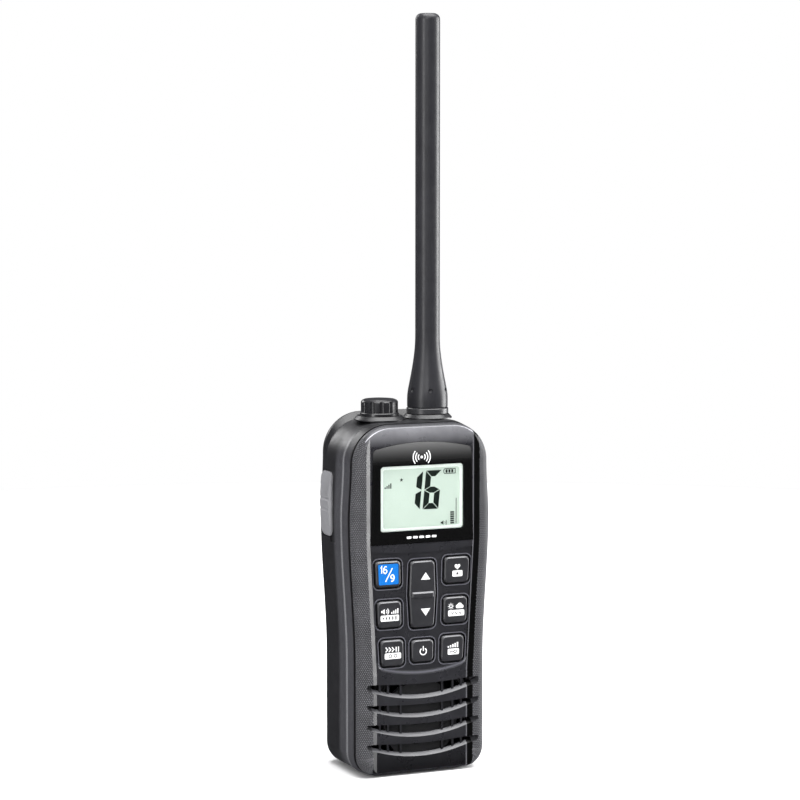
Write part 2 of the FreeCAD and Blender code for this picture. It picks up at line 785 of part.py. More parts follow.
seat_z = body_height + collar_h
flange_r = thread_r + connector_flange
thread_top = seat_z + thread_height
connector = turned([
    (connector_bore_r, cavity_height - connector_depth), (flange_r, cavity_height - connector_depth),
    (flange_r, cavity_height), (thread_r, cavity_height), (thread_r, thread_top),
    (thread_r - 0.6, thread_top + 0.3), (connector_bore_r, thread_top + 0.3),
], antenna_x, deck_axis_y)
save("antenna_connector", connector)

# ---- antenna ----
seal_inner = thread_r + thread_play
antenna_seal = turned([
    (seal_inner, body_height + 0.7), (thread_r + 0.85, body_height + 0.7),
    (thread_r + 0.85, seat_z), (seal_inner, seat_z),
], antenna_x, deck_axis_y)
save("antenna_seal", antenna_seal)
ferrule_top = seat_z + ferrule_h
ferrule = turned([
    (seal_inner, seat_z + 0.05), (ferrule_r - 0.3, seat_z + 0.05), (ferrule_r, seat_z + 0.35),
    (ferrule_r, ferrule_top - 0.3), (ferrule_r - 0.3, ferrule_top),
    (seal_inner + 2.2, ferrule_top), (seal_inner + 2.2, ferrule_top + 6.0),
    (0.6, ferrule_top + 6.0), (0.6, ferrule_top + 4.2), (seal_inner, ferrule_top + 4.2),
], antenna_x, deck_axis_y)
save("antenna_ferrule", ferrule)

tip_z = seat_z + antenna_length + ferrule_h
socket_r = seal_inner + 2.2
socket_top = ferrule_top + 6.0
core_top = tip_z - 8.0


def radial(points):
    return [Vector(antenna_x + r, deck_axis_y, z) for r, z in points]


flare = Part.BSplineCurve()
flare.interpolate(Points=radial([(r, ferrule_top + rise) for r, rise in flare_points]),
                  InitialTangent=Vector(0, 0, 1), FinalTangent=Vector(0, 0, 1))
tip_mid = tip_round * (1 - math.sqrt(0.5))
tip_arc = Part.Arc(*radial([(whip_r, tip_z - tip_round), (whip_r - tip_mid, tip_z - tip_mid),
                            (whip_r - tip_round, tip_z)]))
below = radial([(socket_r, socket_top), (socket_r, ferrule_top), (base_r - 0.35, ferrule_top),
                (base_r, ferrule_top + 0.4), (base_r, ferrule_top + flare_points[0][1])])
above = radial([(whip_r - tip_round, tip_z), (core_r, tip_z), (core_r, socket_top), (socket_r, socket_top)])
whip_line = radial([(whip_r, ferrule_top + flare_points[-1][1]), (whip_r, tip_z - tip_round)])
section = Part.Wire(Part.makePolygon(below).Edges + [flare.toShape()] + Part.makePolygon(whip_line).Edges
                    + [tip_arc.toShape()] + Part.makePolygon(above).Edges)
sheath = Part.Face(section).revolve(Vector(antenna_x, deck_axis_y, 0), Vector(0, 0, 1), 360)
tip_plug = cylinder(core_r, (antenna_x, deck_axis_y, core_top), (antenna_x, deck_axis_y, tip_z))
sheath = sheath.fuse(tip_plug).removeSplitter()
for i in range(dimple_count):
    angle = math.radians(-104.5 + i * 360 / dimple_count)
    px = antenna_x + (dimple_ring_r + dimple_r - dimple_depth) * math.cos(angle)
    py = deck_axis_y + (dimple_ring_r + dimple_r - dimple_depth) * math.sin(angle)
    bead = Part.makeSphere(dimple_r * 1.25, Vector(px, py, ferrule_top + dimple_rise))
    sheath = sheath.cut(bead)
save("antenna_sheath", sheath)
save("antenna_core", cylinder(core_r, (antenna_x, deck_axis_y, socket_top),
                              (antenna_x, deck_axis_y, core_top)))

# ---- accessory jack and its cap ----
neck_top = seat_z + jack_neck_h
jack_flange_r = jack_neck_r + jack_flange
jack = turned([
    (jack_bore_r, cavity_height - jack_depth), (jack_flange_r, cavity_height - jack_depth),
    (jack_flange_r, cavity_height), (jack_neck_r, cavity_height), (jack_neck_r, neck_top),
    (jack_bore_r, neck_top),
], jack_x, deck_axis_y)
save("accessory_jack", jack)
cap_inner = jack_neck_r + thread_play
cap_seal = turned([
    (cap_inner, seat_z + 0.05), (cap_inner + seal_section, seat_z + 0.05),
    (cap_inner + seal_section, seat_z + 0.75), (cap_inner, seat_z + 0.75),
], jack_x, deck_axis_y)
save("jack_cap_seal", cap_seal)
cap_top = seat_z + cap_height
seal_room_r = cap_inner + seal_section + 0.1
skirt_top = seat_z + cap_skirt_h
cap = turned([
    (seal_room_r, seat_z + 0.1), (cap_skirt_r, seat_z + 0.1), (cap_skirt_r, skirt_top - 0.3),
    (cap_skirt_r - 0.3, skirt_top), (cap_r, skirt_top), (cap_r, cap_top - 1.3),
    (cap_r - 0.4, cap_top - 0.7), (cap_r - 1.4, cap_top - 0.25), (cap_r - 4.0, cap_top), (0, cap_top),
    (0, neck_top + 0.6), (cap_inner, neck_top + 0.6), (cap_inner, seat_z + 0.85), (seal_room_r, seat_z + 0.85),
], jack_x, deck_axis_y)
for i in range(flute_count):
    angle = 2 * math.pi * (i + 0.5) / flute_count
    reach = cap_r + flute_r - flute_depth
    fx = jack_x + reach * math.cos(angle)
    fy = deck_axis_y + reach * math.sin(angle)
    cap = cap.cut(cylinder(flute_r, (fx, fy, skirt_top), (fx, fy, cap_top - 0.9)))
save("jack_cap", cap)

# ---- display ----
y_lens_front = y_panel - lens_stand
y_lens_back = y_lens_front + lens_t
lens = Part.Face(lens_wire(0, y_lens_front)).extrude(Vector(0, lens_t, 0))
save("display_lens", lens)
frame_outer = grow(window, -0.15)
frame_inner = grow(window, -frame_border)
y_frame_front = y_lens_back + 0.05
lcd_frame = plate(frame_outer, display_r, y_frame_front, y_frame_front + frame_t + lcd_t)
lcd_frame = lcd_frame.cut(plate(frame_inner, display_r, y_frame_front - 1, y_frame_front + frame_t + 0.1))
lcd_seat = grow(window, -0.75)
lcd_frame = lcd_frame.cut(plate(lcd_seat, 0.4, y_frame_front + frame_t, y_board_front))
save("lcd_frame", lcd_frame)
y_lcd = y_frame_front + frame_t
lcd_size = grow(window, -0.85)
save("lcd_panel", plate(lcd_size, 0.3, y_lcd + 0.02, y_lcd + lcd_t - 0.3))
y_light = y_frame_front + frame_t + lcd_t
light_face = grow(window, -0.4)
save("backlight", plate(light_face, 0.5, y_light + 0.02, y_board_front - backlight_gap))

# ---- keys ----
y_flange = y_bezel_back + 0.05


def key_body(points, top_grow):
    stem = plate(points, key_corner_r, y_panel, y_flange + 0.1)
    crown = tapered(points, key_corner_r, y_key_front, top_grow, y_panel, 0)
    flange = plate(grow(points, key_gap + key_flange), 1.0, y_flange, y_flange + key_flange_t)
    return stem.fuse(crown).fuse(flange)


insert_points = grow(keys["key_sixteen"], -insert_inset)
for name, points in keys.items():
    key = key_body(points, -key_bevel)
    if name == "key_sixteen":
        key = key.cut(plate(insert_points, 0.5, y_key_front - 1, y_key_front + insert_t))
    save(name, key.removeSplitter())
save("key_sixteen_insert", plate(insert_points, 0.5, y_key_front - 0.08, y_key_front + insert_t))

rocker_flange_t = 0.5
y_rocker_flange = y_bezel_back + rocker_swing_room
rocker_stem = plate(rocker_points, rocker_radii(key_corner_r), y_panel, y_rocker_flange + 0.1)
rocker_crown = tapered(rocker_points, rocker_radii(key_corner_r), y_key_front, -key_bevel, y_panel, 0)
rocker_flange = plate(grow(rocker_points, key_gap + key_flange * 0.6), rocker_radii(1.0),
                      y_rocker_flange, y_rocker_flange + rocker_flange_t)
cross_ridge = rectangle(0, rocker_z - 0.3, rocker_width_middle - 1.6, ridge_width)
ridge_bar = tapered(cross_ridge, 0.4, y_key_front - ridge_height, -ridge_slope, y_key_front + 0.05, 0)
y_rocker_axis = y_rocker_flange + rocker_flange_t / 2
rocker_pivot = cylinder(rocker_pivot_r, (-rocker_pivot_half, y_rocker_axis, rocker_z),
                        (rocker_pivot_half, y_rocker_axis, rocker_z))
rocker = rocker_stem.fuse(rocker_crown).fuse(rocker_flange).fuse(ridge_bar).fuse(rocker_pivot)
save("key_rocker", rocker.removeSplitter())

pad_half = max(column_x) + max(column_widths) / 2 + 2.0
pad_low = row_z[2] - key_height / 2 - 3.0
pad_high = row_z[0] + key_height / 2 + 3.2
pad_narrow = 2.4
pad_points = [(-pad_half + pad_narrow, pad_low), (pad_half - pad_narrow, pad_low),
              (pad_half, pad_high), (-pad_half, pad_high)]
y_mat = y_mat_front
save("keypad_mat", plate(pad_points, 2.0, y_mat, y_mat + mat_t))
dome_places = [(sum(p[0] for p in points) / 4, sum(p[1] for p in points) / 4) for points in keys.values()]
dome_places += [(0, rocker_z - rocker_height * 0.36), (0, rocker_z + rocker_height * 0.36)]
domes = [turned([(0, 0), (2.2, 0), (1.6, 0.2), (0, 0.28)], 0, 0) for place in dome_places]
for dome, place in zip(domes, dome_places):
    dome.rotate(Vector(0, 0, 0), Vector(1, 0, 0), 90)
    dome.translate(Vector(place[0], y_board_front, place[1]))
save("dome_switches", group(domes))

# ---- speaker, microphone, indicator ----
y_screen = y_bezel_back + 0.05
save("speaker_screen", cylinder(speaker_r, (0, y_screen, speaker_z), (0, y_screen + screen_t, speaker_z)))
y_speaker = y_screen + screen_t


def turned_y(profile, x, z):
    """Solid of revolution about a line along Y; profile is a list of (radius, y)."""
    points = [Vector(x + r, y, z) for r, y in profile]
    face = Part.Face(Part.makePolygon(points + [points[0]]))
    return face.revolve(Vector(x, 0, z), Vector(0, 1, 0), 360)


speaker_back = y_speaker + speaker_depth
basket = turned_y([
    (speaker_r - 2.2, y_speaker), (speaker_r, y_speaker), (speaker_r, y_speaker + 2.0),
    (speaker_r - 2.0, y_speaker + 2.2), (10.5, speaker_back - 2.4), (9.2, speaker_back - 2.4),
    (9.2, speaker_back - 3.2), (10.0, speaker_back - 3.2), (speaker_r - 2.4, y_speaker + 1.4),
    (speaker_r - 2.2, y_speaker + 1.2),
], 0, speaker_z)
save("speaker_frame", basket)
cone = turned_y([
    (0, y_speaker + 1.6), (4.2, y_speaker + 2.2), (speaker_r - 3.6, y_speaker + 0.5),
    (speaker_r - 2.4, y_speaker + 0.5),
    (speaker_r - 2.4, y_speaker + 0.8), (speaker_r - 3.5, y_speaker + 0.8), (4.4, y_speaker + 2.6),
    (0, y_speaker + 2.0),
], 0, speaker_z)
save("speaker_cone", cone)
magnet = turned_y([
    (0, speaker_back - 3.2), (9.1, speaker_back - 3.2), (9.1, speaker_back), (0, speaker_back),
], 0, speaker_z)
save("speaker_magnet", magnet)
mic_x = -waist_half + strip_width_bottom + 4.2
mic_z = ledge_z - 4.6
mic_r = 2.0
boot_wall = 0.6
y_mic = y_bezel_back + 0.1
save("microphone", cylinder(mic_r, (mic_x, y_mic + 0.6, mic_z), (mic_x, y_mic + 2.4, mic_z)))
boot = tube(mic_r + boot_wall, mic_r, (mic_x, y_mic, mic_z), (mic_x, y_mic + 2.4, mic_z))
save("microphone_boot", boot)
led_x = waist_half - strip_width_bottom - 3.7
led_z = ledge_z - 5.4
save("indicator_lamp", cylinder(1.2, (led_x, y_bezel_back + 0.1, led_z), (led_x, y_bezel_back + 2.3, led_z)))

# ---- boards and chassis ----
board_cut = speaker_z + speaker_r + 0.6
y_board_back = y_board_front + board_t
board = slab(wall + 1.4, y_board_front, y_board_back, board_top + wall + 1.4)
board = board.common(box(-big, big, y_board_front - 1, y_board_back + 1, board_cut, board_top))
for x, z in bosses:
    board = board.cut(cylinder(boss_r + 0.4, (x, y_board_front - 1, z), (x, y_board_back + 1, z)))
board_screw_places = [(-17.0, board_cut + 4.0), (17.0, board_cut + 4.0),
                      (-17.0, board_top - 4.0), (17.0, board_top - 4.0)]
for x, z in board_screw_places:
    board = board.cut(cylinder(board_screw_r, (x, y_board_front - 1, z), (x, y_board_back + 1, z)))
save("main_board", board)
can_height = 3.0
can_half = 15.0
can_t = 0.3
can_depth_z = (board_top - board_cut) / 2 - 14.0
cans = []
for z in (board_cut + 9.0, board_cut + 9.0 + can_depth_z + 6.0):
    shell = box(-can_half, can_half, y_board_back, y_board_back + can_height, z, z + can_depth_z)
    hollow = box(can_t - can_half, can_half - can_t, y_board_back - 1, y_board_back + can_height - can_t,
                 z + can_t, z + can_depth_z - can_t)
    cans.append(shell.cut(hollow))
save("shield_cans", group(cans))
chassis_t = 1.2
y_chassis = y_board_back + can_height + 0.4
chassis = slab(wall + 1.8, y_chassis, y_chassis + chassis_t, board_top + wall + 1.8)
chassis = chassis.common(box(-big, big, y_chassis - 1, y_chassis + chassis_t + 1, board_cut - 2, board_top))
for x, z in bosses:
    chassis = chassis.cut(cylinder(boss_r + 0.4, (x, y_chassis - 1, z), (x, y_chassis + 3, z)))
for x, z in board_screw_places:
    post = cylinder(board_screw_r + 1.2, (x, y_board_back, z), (x, y_chassis + 0.1, z))
    chassis = chassis.fuse(post)
    through = cylinder(board_screw_r, (x, y_board_back - 1, z), (x, y_chassis + chassis_t + 1, z))
    chassis = chassis.cut(through)
save("chassis", chassis.removeSplitter())
board_screws = []
for x, z in board_screw_places:
    shaft = cylinder(board_screw_r, (x, y_board_front, z), (x, y_chassis + chassis_t, z))
    head = cylinder(board_screw_head_r, (x, y_chassis + chassis_t, z), (x, y_chassis + chassis_t + 1.0, z))
    board_screws.append(shaft.fuse(head))
save("board_screws", group(board_screws))

# ---- push-to-talk ----
x_ptt_flange = ptt_wall_x + wall + ptt_seat
ptt_face_y0 = ptt_front
ptt_face_y1 = ptt_front + ptt_length_y
ptt_low = ptt_z - ptt_height / 2
ptt_high = ptt_z + ptt_height / 2


def ptt_wire(shrink, x):
    flat = rounded([(ptt_face_y0 + shrink, ptt_low + shrink), (ptt_face_y1 - shrink, ptt_low + shrink),
                    (ptt_face_y1 - shrink, ptt_high - shrink), (ptt_face_y0 + shrink, ptt_high - shrink)],
                   ptt_corner_r - 0.2, 0)
    flat.rotate(Vector(0, 0, 0), Vector(0, 0, 1), 90)
    flat.translate(Vector(x, 0, 0))
    return flat


ptt_body = loft([ptt_wire(0.9, ptt_wall_x - ptt_proud), ptt_wire(0, ptt_wall_x - ptt_proud + 0.9)])
ptt_body = ptt_body.fuse(loft([ptt_wire(0, ptt_wall_x - ptt_proud + 0.9), ptt_wire(0, x_ptt_flange + 0.05)]))
crown_x = ptt_wall_x - ptt_proud + ptt_crown_r
ptt_body = ptt_body.common(cylinder(ptt_crown_r, (crown_x, ptt_front - 5, ptt_z),
                                    (crown_x, ptt_front + ptt_length_y + 5, ptt_z)))
ptt_flange = ptt_plate(1.0, x_ptt_flange, x_ptt_flange + 0.8, ptt_corner_r)
ptt_stem = box(x_ptt_flange + 0.7, x_ptt_flange + 1.6, ptt_front + 3.5, ptt_front + 6.5, ptt_z - 2, ptt_z + 2)
ptt_button = ptt_body.fuse(ptt_flange).fuse(ptt_stem)
rib_pitch = ptt_height / ptt_rib_count
groove_x = ptt_wall_x - ptt_proud + ptt_rib_depth - ptt_rib_r
for i in range(ptt_rib_count):
    groove_z = ptt_low + (i + 0.5) * rib_pitch
    groove = cylinder(ptt_rib_r, (groove_x, ptt_face_y0 - 1, groove_z), (groove_x, ptt_face_y1 + 1, groove_z))
    ptt_button = ptt_button.cut(groove)
save("ptt_button", ptt_button.removeSplitter())
switch_gap = ptt_travel + 0.15
x_switch = x_ptt_flange + 1.6 + switch_gap
ptt_switch = box(x_switch, x_switch + 3.0, ptt_front + 2.0, ptt_front + 8.0, ptt_z - 3, ptt_z + 3)
save("ptt_switch", ptt_switch)

# ---- battery pack ----
pack_hull = rear_outer.common(box(-big, big, y_rail_back + pack_gap, big, pack_bottom + pack_gap,
                                  pack_top - pack_gap))
inner_half = bay_half - pack_gap
pack_inner = box(-inner_half, inner_half, pack_front + pack_gap, y_rail_back + pack_gap + 0.1,
                 pack_bottom + pack_gap, pack_top - pack_gap)
pack_body = pack_hull.fuse(pack_inner)
cover_t = 1.2
y_cells = pack_front + pack_gap + cover_t + 0.2
y_cells_back = y_rear - pack_wall - 0.4
cell_high = pack_top - pack_gap - pack_wall - 4.0
pack_hollow = box(-inner_half + pack_wall, inner_half - pack_wall, pack_front, y_cells_back + 0.3,
                  pack_bottom + pack_gap + pack_wall, pack_top - pack_gap - pack_wall)
cover_seat = box(-inner_half + pack_wall / 2, inner_half - pack_wall / 2, pack_front,
                 pack_front + pack_gap + cover_t, pack_bottom + pack_gap + pack_wall / 2,
                 pack_top - pack_gap - pack_wall / 2)
latch_x = latch_width / 2
latch_low = pack_bottom + pack_gap + 2.6
latch_pocket_top = latch_low + latch_height + latch_travel + latch_gap
latch_pocket = box(-latch_x - 0.2, latch_x + 0.2, y_rear - latch_t - 0.6, y_rear + 1,
                   latch_low - 0.2, latch_pocket_top)
latch_way_top = latch_low + latch_tongue_rise + latch_travel + latch_gap
latch_way = box(-latch_x + 3.0, latch_x - 3.0, y_rail_back + 0.4, y_rear - 1.5, pack_bottom, latch_way_top)
pack_shell = pack_body.cut(pack_hollow).cut(cover_seat)
latch_bed = box(-latch_x - 1.8, latch_x + 1.8, y_rail_back - 0.3, y_rear - 0.8,
                pack_bottom + pack_gap + 0.4, latch_pocket_top + 1.5)
pack_shell = pack_shell.fuse(latch_bed.common(pack_hull)).cut(latch_pocket).cut(latch_way)
clip_screw_z = (clip_axis_z - 6.5, clip_axis_z - 15.0)
save("pack_shell", max(pack_shell.removeSplitter().Solids, key=lambda s: s.Volume))
cover = box(-inner_half + pack_wall / 2 + 0.05, inner_half - pack_wall / 2 - 0.05, pack_front + pack_gap,
            pack_front + pack_gap + cover_t, pack_bottom + pack_gap + pack_wall / 2 + 0.05,
            pack_top - pack_gap - pack_wall / 2 - 0.05)
contacts = []
for i in (-1, 0, 1):
    pad = box(i * contact_pitch - contact_size / 2, i * contact_pitch + contact_size / 2,
              pack_front + pack_gap, pack_front + pack_gap + contact_t, pin_z - contact_size / 2,
              pin_z + contact_size / 2)
    cover = cover.cut(pad)
    contacts.append(pad)
save("pack_cover", cover)
save("pack_contacts", group(contacts))
cell_x = inner_half - pack_wall - 0.6
latch_bed_top = latch_pocket_top + 1.5
cells = []
for sign in (-1, 1):
    x0, x1 = sorted((sign * cell_gap / 2, sign * cell_x))
    cell = box(x0, x1, y_cells, y_cells_back, latch_bed_top + 0.6, cell_high)
    upright = [e for e in cell.Edges if abs(e.BoundBox.ZLength - (cell_high - latch_bed_top - 0.6)) < 1e-3]
    cells.append(cell.makeFillet(2.4, upright))
save("pack_cells", group(cells))
save("pack_board", box(-cell_x + 2, cell_x - 2, y_cells, y_cells + 0.9, cell_high + 0.4,
                       pack_top - pack_gap - pack_wall - 0.3))

slider = box(-latch_x, latch_x, y_rear - latch_t - 0.4, y_rear - 0.2, latch_low, latch_low + latch_height)
tongue_half = latch_x - latch_tongue_inset
tongue = box(-tongue_half, tongue_half, y_rail_back + 0.8, y_rear - latch_t - 0.3,
             pack_bottom - 1.6, latch_low + latch_tongue_rise)
latch = slider.fuse(tongue)
for i in range(3):
    z = latch_low + 1.6 + i * 1.9
    latch = latch.cut(box(-latch_x + 2, latch_x - 2, y_rear - 0.7, y_rear, z, z + 0.9))
save("pack_latch", latch.removeSplitter())

pins = []
for i in (-1, 0, 1):
    x = i * contact_pitch
    barrel = cylinder(pin_r, (x, pack_front - wall - 1.0, pin_z), (x, pack_front, pin_z))
    tip = cylinder(pin_tip_r, (x, pack_front - 0.1, pin_z), (x, pack_front + pack_gap - 0.02, pin_z))
    pins.append(barrel.fuse(tip))
save("battery_pins", group(pins))

# ---- belt clip, on the pack ----
y_clip_axis = y_rear + clip_base_t + clip_space / 2
clip_half = clip_width / 2
ear_t = 2.0
ear_half = clip_half - 3.0
ear_r = 2.6
base_plate = box(-ear_half, ear_half, y_rear, y_rear + clip_base_t, clip_axis_z - clip_base_h,
                 clip_axis_z + ear_r + 0.6)
base = base_plate
for x in (-ear_half, ear_half - ear_t):
    ear = box(x, x + ear_t, y_rear + clip_base_t - 0.1, y_clip_axis, clip_axis_z - ear_r, clip_axis_z + ear_r)
    ear = ear.fuse(cylinder(ear_r, (x, y_clip_axis, clip_axis_z), (x + ear_t, y_clip_axis, clip_axis_z)))
    base = base.fuse(ear)
base = base.cut(cylinder(clip_pin_r, (-big, y_clip_axis, clip_axis_z), (big, y_clip_axis, clip_axis_z)))
clip_screws = []
for z in clip_screw_z:
    y_seat = y_rear + clip_base_t / 2
    base = base.cut(cylinder(clip_screw_r, (0, y_rear - 1, z), (0, y_rear + 5, z)))
    base = base.cut(cylinder(clip_screw_head_r + 0.1, (0, y_seat, z), (0, y_rear + 5, z)))
    shank = cylinder(clip_screw_r, (0, y_rear, z), (0, y_seat, z))
    clip_screws.append(shank.fuse(cylinder(clip_screw_head_r, (0, y_seat, z), (0, y_rear + clip_base_t, z))))
save("clip_base", base.removeSplitter())
save("clip_screws", group(clip_screws))
save("clip_pin", cylinder(clip_pin_r, (-clip_half + 0.4, y_clip_axis, clip_axis_z),
                          (clip_half - 0.4, y_clip_axis, clip_axis_z)))

y_clip_in = y_rear + clip_base_t + clip_space
y_clip_out = y_clip_in + clip_t
clip_low_z = clip_top_z - clip_length
clip_points = [(-clip_half + 3.0, clip_low_z), (clip_half - 3.0, clip_low_z),
               (clip_half, clip_low_z + clip_taper_h), (clip_half, clip_top_z), (-clip_half, clip_top_z),
               (-clip_half, clip_low_z + clip_taper_h)]
lever = plate(clip_points, 2.6, y_clip_in, y_clip_out)
lip_half = clip_half - clip_lip_inset
lip = box(-lip_half, lip_half, y_rear + 0.6, y_clip_in + 0.2, clip_low_z + 1.2, clip_low_z + 3.4)
lever = lever.fuse(lip)
knuckle_r = clip_pin_r + 1.3
for x in (-clip_half + 0.8, clip_half - 0.8 - 1.9):
    knuckle = cylinder(knuckle_r, (x, y_clip_axis, clip_axis_z), (x + 1.9, y_clip_axis, clip_axis_z))
    web = box(x, x + 1.9, y_clip_axis, y_clip_in + 0.2, clip_axis_z - knuckle_r, clip_axis_z + knuckle_r)
    lever = lever.fuse(knuckle).fuse(web)
lever = lever.cut(cylinder(clip_pin_r + clip_pin_play, (-big, y_clip_axis, clip_axis_z),
                           (big, y_clip_axis, clip_axis_z)))
save("clip_lever", lever.removeSplitter())
spring_wire = 0.45
coils = []
spring_half = ear_half - ear_t - 0.6
turns = int(2 * spring_half / 1.25)
for i in range(turns):
    ring = Part.makeTorus(clip_pin_r + spring_wire + 0.15, spring_wire, Vector(
        -spring_half + spring_wire + i * (2 * spring_half - 2 * spring_wire) / (turns - 1), y_clip_axis,
        clip_axis_z), Vector(1, 0, 0))
    coils.append(ring)
save("clip_spring", group(coils))
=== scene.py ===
import json
import math

import bmesh
import bpy
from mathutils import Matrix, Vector
from mathutils.bvhtree import BVHTree


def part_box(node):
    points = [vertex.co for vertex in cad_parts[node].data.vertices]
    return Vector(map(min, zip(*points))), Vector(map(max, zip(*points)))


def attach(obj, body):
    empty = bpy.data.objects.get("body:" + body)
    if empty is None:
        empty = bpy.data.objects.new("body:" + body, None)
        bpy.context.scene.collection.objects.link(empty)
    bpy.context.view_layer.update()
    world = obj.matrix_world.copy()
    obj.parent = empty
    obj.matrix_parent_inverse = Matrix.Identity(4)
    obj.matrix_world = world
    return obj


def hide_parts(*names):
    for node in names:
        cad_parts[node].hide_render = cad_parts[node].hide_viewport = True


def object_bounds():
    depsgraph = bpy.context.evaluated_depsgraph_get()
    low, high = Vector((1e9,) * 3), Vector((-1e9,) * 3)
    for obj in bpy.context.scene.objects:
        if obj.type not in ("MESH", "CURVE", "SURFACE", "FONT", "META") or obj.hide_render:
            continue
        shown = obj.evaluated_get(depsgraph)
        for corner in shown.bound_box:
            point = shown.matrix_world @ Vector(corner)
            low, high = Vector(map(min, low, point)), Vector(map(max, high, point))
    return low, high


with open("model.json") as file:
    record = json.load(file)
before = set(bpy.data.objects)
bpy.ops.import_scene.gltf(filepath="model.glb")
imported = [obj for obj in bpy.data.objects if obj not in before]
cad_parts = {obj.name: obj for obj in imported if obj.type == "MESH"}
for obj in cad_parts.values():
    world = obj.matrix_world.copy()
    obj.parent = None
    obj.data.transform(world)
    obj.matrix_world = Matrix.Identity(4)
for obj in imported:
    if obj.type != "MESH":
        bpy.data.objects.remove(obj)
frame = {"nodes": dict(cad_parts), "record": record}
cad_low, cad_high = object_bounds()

MM = 0.001
RADIO = "radio"
nodes = frame["nodes"]


# ---- places read from the frame ----
def low(node):
    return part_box(node)[0]


def high(node):
    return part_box(node)[1]


def middle(node):
    return (low(node) + high(node)) / 2


key_front = low("key_power").y
lcd_front = low("lcd_panel").y
lens_front = low("display_lens").y
lens_low_z = low("display_lens").z
lens_high_z = high("display_lens").z
case_top = high("rear_case").z

ZONE_FRONT = -13.6 * MM     # grained zones on the case's sides, from front to back
ZONE_BACK = 1.5 * MM
RIDGE_Y = -7.6 * MM         # painted highlight along the ridge between the zones
LEDGE_DROP = 51.9 * MM      # keypad ledge below the lens, where the panel stops narrowing
SHADE_BAND = 2.1 * MM             # painted shade: black strip along the panel's right edge
RIM_DEPTH = 0.7 * MM        # painted highlight: pale rims round the keys, this far behind the key fronts
RIM_HALF = 0.12 * MM
RIM_HIGHLIGHT_LIFT = 4.5              # how much paler the painted highlight makes the rims


# ---- material helpers ----
NOISE_ROUGHNESS = 0.55
MOTTLE = 9 * MM             # size of the tone patches
WEAR = 5 * MM               # size of the shinier patches
STREAK = 0.3 * MM           # grain of the metals
GRAIN_STRENGTH = 0.6


def new_material(name):
    mat = bpy.data.materials.new(name)
    mat.use_nodes = True
    tree = mat.node_tree
    shader = tree.nodes["Principled BSDF"]
    return mat, tree, shader


def link(tree, out, socket):
    tree.links.new(out, socket)


def coordinates(tree):
    return tree.nodes.new("ShaderNodeTexCoord").outputs["Object"]


def axis(tree, vector, name):
    axes = tree.nodes.new("ShaderNodeSeparateXYZ")
    link(tree, vector, axes.inputs["Vector"])
    return axes.outputs[name]


def noise(tree, size, detail):
    """Noise whose features are about size metres across, from 0 to 1."""
    node = tree.nodes.new("ShaderNodeTexNoise")
    node.inputs["Scale"].default_value = 1.0 / size
    node.inputs["Detail"].default_value = detail
    node.inputs["Roughness"].default_value = NOISE_ROUGHNESS
    link(tree, coordinates(tree), node.inputs["Vector"])
    return node.outputs["Fac"]


def spread(tree, value, low_value, high_value, from_low=0.3, from_high=0.7):
    """Maps a 0 to 1 value to a range."""
    node = tree.nodes.new("ShaderNodeMapRange")
    node.inputs["From Min"].default_value = from_low
    node.inputs["From Max"].default_value = from_high
    node.inputs["To Min"].default_value = low_value
    node.inputs["To Max"].default_value = high_value
    link(tree, value, node.inputs["Value"])
    return node.outputs["Result"]


def blend_colours(tree, factor, first, second):
    node = tree.nodes.new("ShaderNodeMix")
    node.data_type = "RGBA"
    node.inputs["A"].default_value = (*first, 1)
    node.inputs["B"].default_value = (*second, 1)
    link(tree, factor, node.inputs["Factor"])
    return node.outputs["Result"]


def bump(tree, shader, height, distance, strength=GRAIN_STRENGTH):
    node = tree.nodes.new("ShaderNodeBump")
    node.inputs["Distance"].default_value = distance
    node.inputs["Strength"].default_value = strength
    link(tree, height, node.inputs["Height"])
    link(tree, node.outputs["Normal"], shader.inputs["Normal"])


def height_fade(tree, low_z, high_z):
    """0 below low_z, 1 above high_z, in metres of the model's frame."""
    return spread(tree, axis(tree, coordinates(tree), "Z"), 0, 1, low_z, high_z)


def facing(tree, name, from_low, from_high):
    """0 to 1 as a face turns towards one axis of the model's frame."""
    turned = tree.nodes.new("ShaderNodeTexCoord").outputs["Normal"]
    return spread(tree, axis(tree, turned, name), 0, 1, from_low, from_high)


def combine(tree, operation, first, second):
    node = tree.nodes.new("ShaderNodeMath")
    node.operation = operation
    link(tree, first, node.inputs[0])
    link(tree, second, node.inputs[1])
    return node.outputs["Value"]


def tinted(tree, colour, tint, factor):
    """The colour, moved towards a tint by the factor."""
    node = tree.nodes.new("ShaderNodeMix")
    node.data_type = "RGBA"
    link(tree, colour, node.inputs["A"])
    node.inputs["B"].default_value = (*tint, 1)
    link(tree, factor, node.inputs["Factor"])
    return node.outputs["Result"]


def power(tree, value, exponent):
    node = tree.nodes.new("ShaderNodeMath")
    node.operation = "POWER"
    link(tree, value, node.inputs[0])
    node.inputs[1].default_value = exponent
    return node.outputs["Value"]


def scaled_colour(tree, colour, factor):
    node = tree.nodes.new("ShaderNodeVectorMath")
    node.operation = "SCALE"
    link(tree, colour, node.inputs[0])
    link(tree, factor, node.inputs["Scale"])
    return node.outputs["Vector"]


